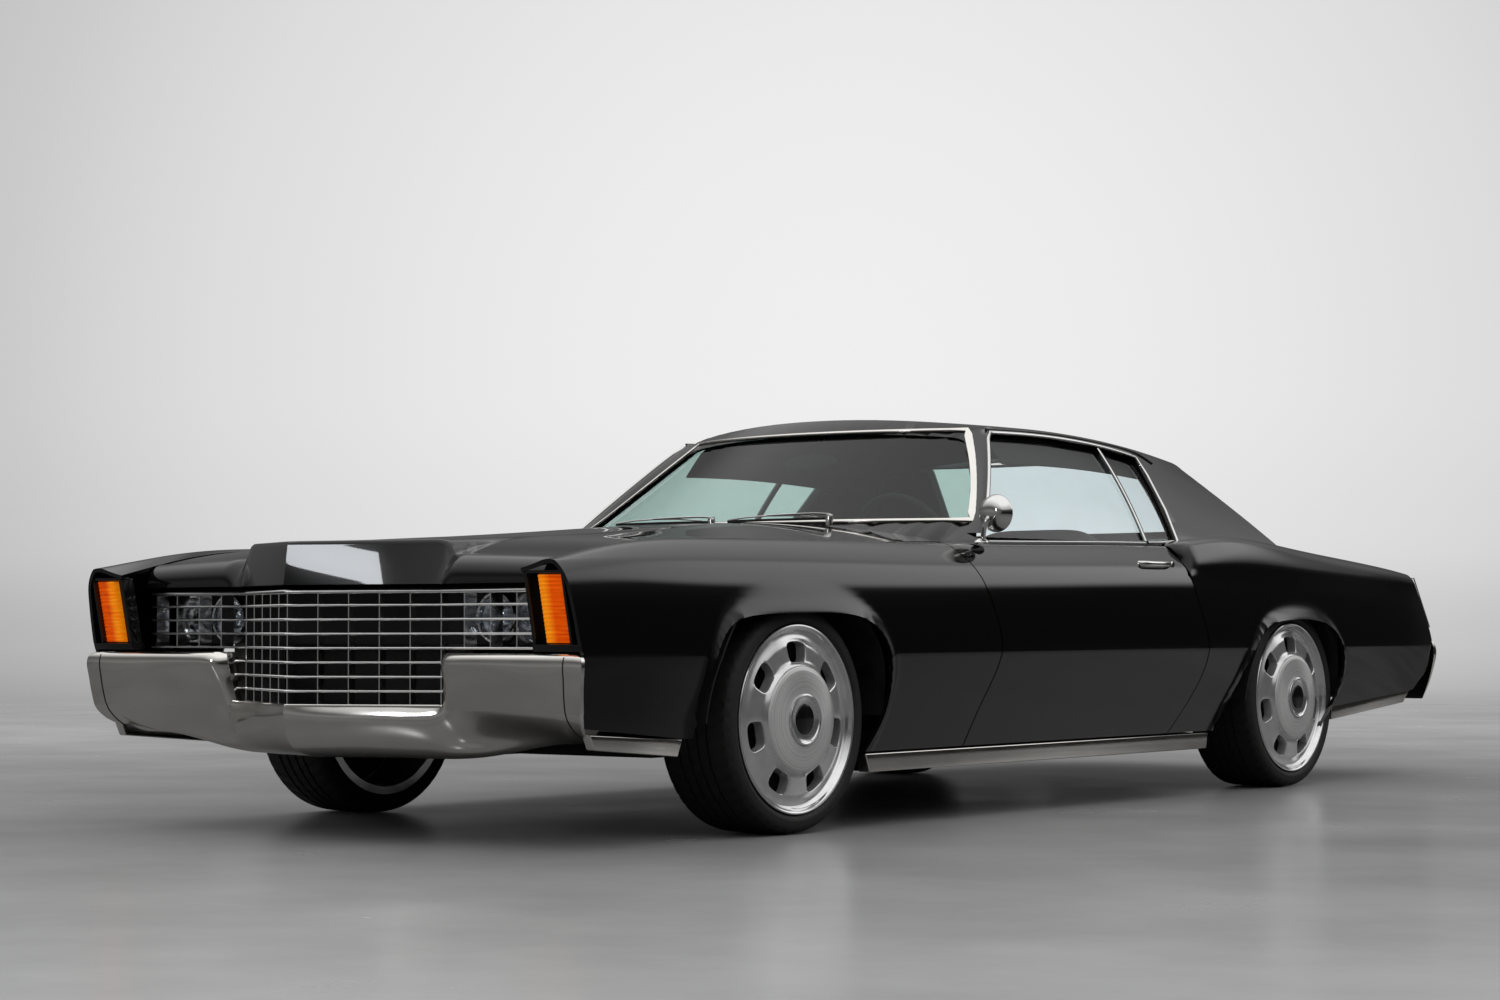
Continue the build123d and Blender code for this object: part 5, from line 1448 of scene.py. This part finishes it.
# barrel and polished lip, a closed shell of (radius, along), along nought at the flange face
shell = [
    (0.2540, -0.2490), (0.2500, -0.235), (0.2480, -0.180), (0.2500, -0.100), (0.2530, -0.040),
    (0.2555, -0.020), (0.2600, -0.011), (0.2660, -0.0065), (0.2720, -0.0045), (0.2748, -0.0020),
    (0.2752, 0.0008), (0.2738, 0.0032), (0.2705, 0.0040), (0.2670, 0.0028), (0.2640, -0.0010),
    (0.2620, -0.0060), (0.2590, -0.0100), (0.2555, -0.0125), (0.2520, -0.0160), (0.2500, -0.0220),
    (0.2480, -0.0400), (0.2450, -0.100), (0.2430, -0.180), (0.2450, -0.250), (0.2480, -0.2560),
    (0.2725, -0.2560), (0.2725, -0.2520), (0.2565, -0.2515), (0.2540, -0.2490)]
# a soft black disc that closes the wheel behind its windows: painted shade for the dark inside of the wheel
paintedShadeDisc = [(0.0, -0.058), (0.236, -0.056), (0.2425, -0.062), (0.2415, -0.070), (0.0, -0.072)]
# large turned disc, its raised cap ring and the plain black centre
disc = [
    (0.0, -0.006), (0.1570, -0.004), (0.1560, 0.0125), (0.1545, 0.0165), (0.1520, 0.0185), (0.137, 0.0215),
    (0.115, 0.0242), (0.095, 0.0262), (0.078, 0.0272), (0.0765, 0.0270), (0.0765, 0.016), (0.0, 0.015)]
capRing = [
    (0.0755, 0.017), (0.0755, 0.0285), (0.0735, 0.0325), (0.0700, 0.0335), (0.0665, 0.0322),
    (0.0645, 0.0290), (0.0560, 0.0265), (0.0445, 0.0262), (0.0445, 0.018), (0.0755, 0.017)]
centre = [(0.0435, 0.018), (0.0435, 0.0262), (0.0415, 0.0285), (0.034, 0.0300), (0.020, 0.0312),
          (0.0, 0.0316), (0.0, 0.018)]
barrelMaster, paintedShadeDiscMaster, discMaster, ringMaster, centreMaster = [
    smooth(turned(name, profile, segments, "X"), 32) for name, profile, segments in (
        ("barrel", shell, 96), ("paintedShadeDisc", paintedShadeDisc, 48), ("disc", disc, 120), ("ring", capRing, 72),
        ("centre", centre, 56))]
plateMaster = spokePlate()
for end, axleY in wheelAt["axleY"].items():
    kinds = (
        (tyreMaster, "tyre", tyreRubber, "tyre", "tyre"),
        (barrelMaster, "rimLip", polishedAlloy, "aluminium", "rim"),
        (plateMaster, "rimSpokes", spokeAlloy, "aluminium", None),
        (discMaster, "rimDisc", turnedAlloy[end], "aluminium", None),
        # the soft black disc behind the spoke windows is painted shade
        (paintedShadeDiscMaster, "rimPaintedShade", softBlack, "dark_plastic", None),
        (ringMaster, "rimRing", polishedAlloy, "chrome", None),
        (centreMaster, "rimCentre", glossBlack, "dark_plastic", None),
    )
    for side, sign in (("left", 1), ("right", -1)):
        for master, label, material, slotName, replaced in kinds:
            title = label + end.capitalize() + side.capitalize()
            piece = copyOf(master, title) if sign > 0 else mirroredCopy(master, title)
            movedBy(piece, (sign * wheelAt["faceX"], axleY, wheelAt["radius"]))
            finishPiece(piece, f"wheel_{end}_{side}", material,
                        [f"{replaced}_{end}_{side}"] if replaced else ())
for master in (tyreMaster, barrelMaster, paintedShadeDiscMaster, plateMaster, discMaster, ringMaster, centreMaster):
    bpy.data.objects.remove(master)
print("wheels made")

# lamp pods in the wing ends


def podY(z, behind):
    return -2.620 - (z - 0.545) * 0.204 + behind


def podPrism(name, corners, xFrom, xTo):
    # a prism whose corners are given as (height, depth behind the pod's raked face)
    return prismAlongX(name, [(podY(z, behind), z) for z, behind in corners], xFrom, xTo)


def ribbedLens(name, xFrom, xTo, zFrom, zTo, ribs):
    # amber wedge: its ribbed face swings in toward the outer side and stands proud at the inner edge
    xs = [xFrom, xFrom + 0.002, xFrom + 0.006, *np.linspace(xFrom + 0.012, xTo - 0.004, 8), xTo - 0.001,
          xTo]
    push = [0.012, 0.004, 0.0005, *np.linspace(0.0, 0.0075, 8), 0.011, 0.016]
    loops = []
    for k in range(ribs):
        for share, level in ((0.08, 0.0), (0.3, 0.8), (0.5, 1.0), (0.7, 0.8), (0.92, 0.0)):
            z = zFrom + (zTo - zFrom) * (k + share) / ribs
            front = [(x, podY(z, 0.0065 + p - level * 0.0016), z) for x, p in zip(xs, push)]
            loops.append(np.array(front + [(xTo, podY(z, 0.0262), z), (xFrom, podY(z, 0.0262), z)]))
    return loftLoops(name, loops)


lens = smooth(ribbedLens("turnLensLeft", 0.857, 0.941, 0.5585, 0.7415, 17), 50)
bothSides(lens, "body", amberGlass, "amber_lamp", "turn_lamp")
podParts = [podPrism("podWallLeft", [(0.553, 0.0275), (0.750, 0.0275), (0.750, 0.045), (0.553, 0.045)],
                     0.812, 0.952)]
for low, high in ((0.8125, 0.8235), (0.9445, 0.953)):
    post = podPrism("post", [(0.552, 0.004), (0.752, 0.004), (0.752, 0.03), (0.552, 0.03)], low, high)
    podParts = [joined("podWallLeft", podParts + [post])]
shelf = prismAlongX("shelf", [(podY(0.536, 0.001), 0.536), (podY(0.5555, 0.0005), 0.5555),
                              (podY(0.5555, 0.05), 0.5575), (podY(0.536, 0.05), 0.536)], 0.812, 0.985)
brow = podPrism("brow", [(0.744, 0.004), (0.752, 0.004), (0.752, 0.03), (0.744, 0.03)], 0.812, 0.952)
wall = joined("podWallLeft", podParts + [shelf, brow])
bothSides(smooth(rounded(wall, 0.0015, 2), 35), "body", glossBlack, "body_paint")
print("pods made")

# sill strips

sillForm = {
    "front": [(-2.559, 0.3155), (-2.171, 0.2916), (-2.191, 0.2440), (-2.540, 0.2740)],
    "sill": [(-1.322, 0.2215), (0.751, 0.2215), (0.738, 0.166), (-1.302, 0.166)],
    "rear": [(1.7485, 0.2975), (2.4255, 0.3385), (2.370, 0.292), (1.7425, 0.240)],
}
for key, low, high in (("front", 0.932, 0.962), ("sill", 0.930, 0.971), ("rear", 0.922, 0.952)):
    strip = smooth(rounded(prismAlongX(key + "StripLeft", sillForm[key], low, high), 0.0035, 3), 35)
    bothSides(strip, "body", bumperChrome, "chrome", "sill_trim")
print("sills made")

# mirror, handles and wipers

roundBar = [(math.cos(a), math.sin(a)) for a in roundAngles(12)]


def roundSwept(name, path, halfWidth, halfHeight, up):
    # a bar of oval section along a path
    section = [(a * halfWidth, b * halfHeight) for a, b in roundBar]
    return sweptBar(name, path, 0.02, 0.02, up, section=section)


head = turned("mirrorHead", [
    (0, -0.0300), (0.012, -0.0297), (0.026, -0.0275), (0.038, -0.0225), (0.048, -0.0135), (0.0555, -0.001),
    (0.0598, 0.009), (0.0610, 0.0145), (0.0600, 0.0175), (0.0570, 0.0178), (0.0550, 0.0150), (0.0, 0.0145)])
movedBy(smooth(head, 45), (0.958, -0.600, 0.960))
stalkLine = curveThrough([(0.926, -0.618, 0.868), (0.932, -0.624, 0.886), (0.944, -0.632, 0.918),
                          (0.954, -0.626, 0.944), (0.958, -0.612, 0.958)], 6)
stalk = smooth(roundSwept("stalk", stalkLine, 0.0085, 0.0065, (0.3, -1, 0)), 50)
foot = turned("foot", [(0, -0.006), (0.021, -0.006), (0.022, -0.001), (0.019, 0.004), (0.012, 0.010),
                       (0, 0.013)], 32)
foot.data.transform(turnX(90) @ Matrix.Diagonal((1.0, 1.0, 1.6, 1.0)))
movedBy(smooth(foot, 45), (0.924, -0.618, 0.868))
finishPiece(joined("doorMirrorLeft", [head, stalk, foot]), "door_left", chrome, ["mirror_left"])


def skinX(y, z):
    # where the left door's skin lies
    hit, where, normal, face = door.ray_cast(Vector((1.3, y, z)), Vector((-1, 0, 0)))
    return where.x if hit else 0.97


handleZ = 0.812
path = [(skinX(y, handleZ) + out, y, handleZ) for y, out in (
    (0.279, -0.004), (0.281, 0.006), (0.288, 0.013), (0.300, 0.0165), (0.34, 0.0175), (0.40, 0.0175),
    (0.452, 0.0165), (0.466, 0.013), (0.474, 0.006), (0.476, -0.004))]
handle = smooth(roundSwept("doorHandleLeft", path, 0.0045, 0.0095, (0, 0, 1)), 50)
button = turned("button", [(0, 0.0), (0.0105, 0.0), (0.0105, 0.007), (0.009, 0.0095), (0, 0.010)], 28, "X")
movedBy(smooth(button, 40), (skinX(0.495, handleZ) - 0.002, 0.497, handleZ))
bothSides(joined("doorHandleLeft", [handle, button]), "door", chrome, "chrome")

wiperForm = {
    "pivots": (0.45, -0.04), "pivotY": -0.795, "reach": 0.43,
    # each as (x, y, z) from the pivot's own x and y
    "arm": [(0.008, 0, 0.964), (-0.06, 0.004, 0.968), (-0.16, 0.010, 0.968), (-0.26, 0.012, 0.966)],
    "spine": [(-0.06, 0.018, 0.956), (-0.16, 0.014, 0.9635), (-0.26, 0.012, 0.9655), (-0.35, 0.014, 0.9625),
              (-0.43, 0.018, 0.955)],
    "rubber": [(-0.03, 0.019, 0.951), (-0.24, 0.018, 0.952), (-0.435, 0.019, 0.951)],
}
wiperParts, rubberParts = [], []
for pivotX in wiperForm["pivots"]:
    pivotY = wiperForm["pivotY"]
    armLine, spineLine, rubberLine = [[(pivotX + x, pivotY + y, z) for x, y, z in wiperForm[key]]
                                      for key in ("arm", "spine", "rubber")]
    cap = turned("cap", [(0, -0.03), (0.012, -0.03), (0.013, 0.0), (0.011, 0.006), (0, 0.009)], 24)
    cap.data.transform(turnX(90))
    movedBy(smooth(cap, 40), (pivotX, pivotY, 0.958))
    wiperParts += [cap, smooth(sweptBar("arm", armLine, 0.012, 0.006, (0, 0, 1), 0.35), 45),
                   smooth(sweptBar("spine", spineLine, 0.007, 0.005, (0, 0, 1), 0.35), 45)]
    rubberParts.append(sweptBar("rubber", rubberLine, 0.006, 0.008, (0, 0, 1), 0.3))
finishPiece(joined("wiperArms", wiperParts), "body", chrome, ["wipers"])
finishPiece(smooth(joined("wiperBlades", rubberParts), 40), "body", softBlack, ["wipers"])
print("mirror, handles and wipers made")

# cabin

cushion = {"cuts": 33, "roundness": 5.0, "crown": 0.10, "seamWidth": 0.030, "seamDepth": 0.10, "fill": 0.9}


def pad(name, size, middle, lean, channels, replaced):
    # a crowned closed pad of the given size about its middle, pulled in at its corners, with sewn channels
    deselectAll()
    bpy.ops.mesh.primitive_cube_add(size=2)
    piece = bpy.context.active_object
    piece.name = name
    bpy.ops.object.mode_set(mode="EDIT")
    bpy.ops.mesh.select_all(action="SELECT")
    bpy.ops.mesh.subdivide(number_cuts=cushion["cuts"])
    bpy.ops.object.mode_set(mode="OBJECT")
    flat = np.zeros(len(piece.data.vertices) * 3)
    piece.data.vertices.foreach_get("co", flat)
    p = flat.reshape(-1, 3)
    length = (np.abs(p) ** cushion["roundness"]).sum(axis=1, keepdims=True) ** (1 / cushion["roundness"])
    q = p * np.abs(p).max(axis=1, keepdims=True) / length
    seam = np.zeros(len(p))
    for k in range(1, channels):
        seam += np.exp(-((p[:, 0] - (2 * k / channels - 1)) / cushion["seamWidth"]) ** 2)
    face = np.clip((np.abs(p[:, 2]) - 0.7) / 0.3, 0, 1)
    q[:, 2] *= 1 - cushion["crown"] * (1 - (1 - q[:, 0] ** 2 * 0.8) * (1 - q[:, 1] ** 2 * 0.8))
    q[:, 2] -= np.sign(p[:, 2]) * seam * face * cushion["seamDepth"]
    q *= np.array(size) / 2
    piece.data.vertices.foreach_set("co", q.reshape(-1))
    piece.data.update()
    smooth(piece, 60)
    piece.data.transform(Matrix.Translation(Vector(middle)) @ turnX(lean))
    finishPiece(piece, "body", leather, [replaced])


for side, x in (("Left", 0.42), ("Right", -0.42)):
    pad("frontCushion" + side, (0.552, 0.50, 0.17), (x, 0.10, 0.352), 3, 6, "front_seats")
    pad("frontBack" + side, (0.552, 0.56, 0.13), (x, 0.452, 0.668), 74, 6, "front_seats")
    plinth = boxBetween("seatPlinth" + side, (x - 0.24, -0.10, 0.1905), (x + 0.24, 0.33, 0.29))
    finishPiece(smooth(rounded(plinth, 0.006, 2), 35), "body", softBlack, ["front_seats"])
pad("centreArmrest", (0.27, 0.44, 0.13), (0, 0.105, 0.390), 0, 0, "front_seats")
pad("rearCushion", (1.196, 0.42, 0.12), (0, 0.772, 0.46), 4, 10, "rear_seat")
pad("rearBack", (1.196, 0.37, 0.14), (0, 0.885, 0.668), 72, 10, "rear_seat")

dashOutline = [
    (-0.9145, 0.602), (-0.9145, 0.834), (-0.80, 0.840), (-0.62, 0.8385), (-0.50, 0.830), (-0.445, 0.815),
    (-0.424, 0.790), (-0.430, 0.765), (-0.452, 0.745), (-0.462, 0.700), (-0.475, 0.645), (-0.56, 0.602)]
dash = prismAlongX("dashPanel", dashOutline, -0.738, 0.738)
hoodLoops = []
for x, grow in ((0.20, 0.0), (0.215, 0.7), (0.24, 1.0), (0.52, 1.0), (0.545, 0.7), (0.56, 0.0)):
    hoodLoops.append(np.array([(x, y, z + lift * grow) for y, z, lift in (
        (-0.60, 0.82, 0), (-0.58, 0.836, 0.018), (-0.47, 0.834, 0.022), (-0.428, 0.815, 0.018),
        (-0.430, 0.79, 0))]))
hood = smooth(loftLoops("hood", hoodLoops), 50)
column = roundSwept("column", [(0.38, -0.4750, 0.7785), (0.38, -0.287, 0.8625)], 0.028, 0.028, (1, 0, 0))
dash = joined("dashPanel", [smooth(rounded(dash, 0.006, 3, 50), 40), hood, smooth(column, 40)])
finishPiece(dash, "body", leather, ["dashboard"])

steering = {"radius": 0.185, "halfWidth": 0.0115, "halfHeight": 0.0125, "middle": (0.38, -0.27, 0.87),
            "tilt": 24}
rimLoops = []
for a in np.linspace(0, 2 * math.pi, 73):
    radii = [steering["radius"] + steering["halfWidth"] * u for u, v in roundBar]
    rimLoops.append(np.array([(r * math.cos(a), r * math.sin(a), steering["halfHeight"] * v)
                              for r, (u, v) in zip(radii, roundBar)]))
rim = smooth(loftLoops("steeringWheelRim", rimLoops, caps=False), 60)
boss = turned("boss", [(0, -0.016), (0.050, -0.014), (0.055, -0.004), (0.048, 0.006), (0.030, 0.012),
                       (0, 0.014)], 40)
boss.data.transform(turnX(90))
spokes = [sweptBar("spoke", [(s * 0.045, 0, -0.002), (s * 0.12, -0.008, 0.000), (s * 0.182, -0.004, 0.001)],
                   0.030, 0.007, (0, 0, 1), 0.4) for s in (1, -1)]
hubParts = [smooth(boss, 40), *[smooth(spoke, 45) for spoke in spokes]]
# the wheel is made flat and then leans back on its column
for piece in (rim, *hubParts):
    piece.data.transform(Matrix.Translation(Vector(steering["middle"])) @ turnX(steering["tilt"] - 90))
finishPiece(rim, "steering_wheel", softBlack, ["steering_wheel"])
hub = joined("steeringWheelSpokes", hubParts)
finishPiece(hub, "steering_wheel", brushedAlloy, ["steering_wheel"])

cardOutline = [(-0.70, 0.262), (-0.68, 0.80), (-0.60, 0.846), (0.40, 0.858), (0.56, 0.84), (0.60, 0.262)]
card = prismAlongX("doorCardLeft", cardOutline, 0.8085, 0.872)
card = joined("doorCardLeft", [card, boxBetween("rest", (0.765, -0.36, 0.585), (0.815, 0.28, 0.655))])
bothSides(smooth(rounded(card, 0.010, 3), 35), "door", leather, "leather")

rows = np.array([acrossCar(domeSection(y, 0.040)[8:], y) for y in np.linspace(-0.135, 1.02, 30)])
lining = thicken(faceOut(fromGrid("headlining", rows), (0, 0.4, 2.4)), 0.004)
finishPiece(smooth(lining, 50), "body", fabricBlack)

glassHead = turned("interiorMirror", [
    (0, -0.010), (0.9, -0.010), (0.97, -0.006), (1.0, 0.0), (0.985, 0.006), (0.9, 0.007), (0, 0.007)], 48)
stretch = Matrix.Diagonal((0.118, 1.0, 0.029, 1.0))
glassHead.data.transform(Matrix.Translation(Vector((0, -0.287, 1.171))) @ turnX(-14) @ stretch)
stem = roundSwept("stem", [(0, -0.290, 1.185), (0, -0.262, 1.222), (0, -0.214, 1.262)], 0.006, 0.005,
                  (1, 0, 0))
inner = joined("interiorMirror", [smooth(glassHead, 45), smooth(stem, 50)])
finishPiece(inner, "body", glossBlack)
print("cabin made")

# tail lamps

for side, sign in (("left", 1), ("right", -1)):
    title = side.capitalize()
    blade = prismAlongX("tailLampLens" + title,
                        [(2.479, 0.782), (2.512, 0.783), (2.652, 0.592), (2.616, 0.590)],
                        sign * 0.852, sign * 0.933)
    finishPiece(smooth(rounded(blade, 0.004, 3), 35), "body", smokedRed, ["tail_lamp_" + side])
    path = [(sign * 0.9345, y, z)
            for y, z in ((2.478, 0.786), (2.516, 0.787), (2.657, 0.590), (2.614, 0.585))]
    edge = sweptBar("tailLampEdge" + title, path + path[:1], 0.004, 0.004, (sign, 0, 0), 0.3)
    finishPiece(smooth(edge, 40), "body", chrome)
print("tail made")
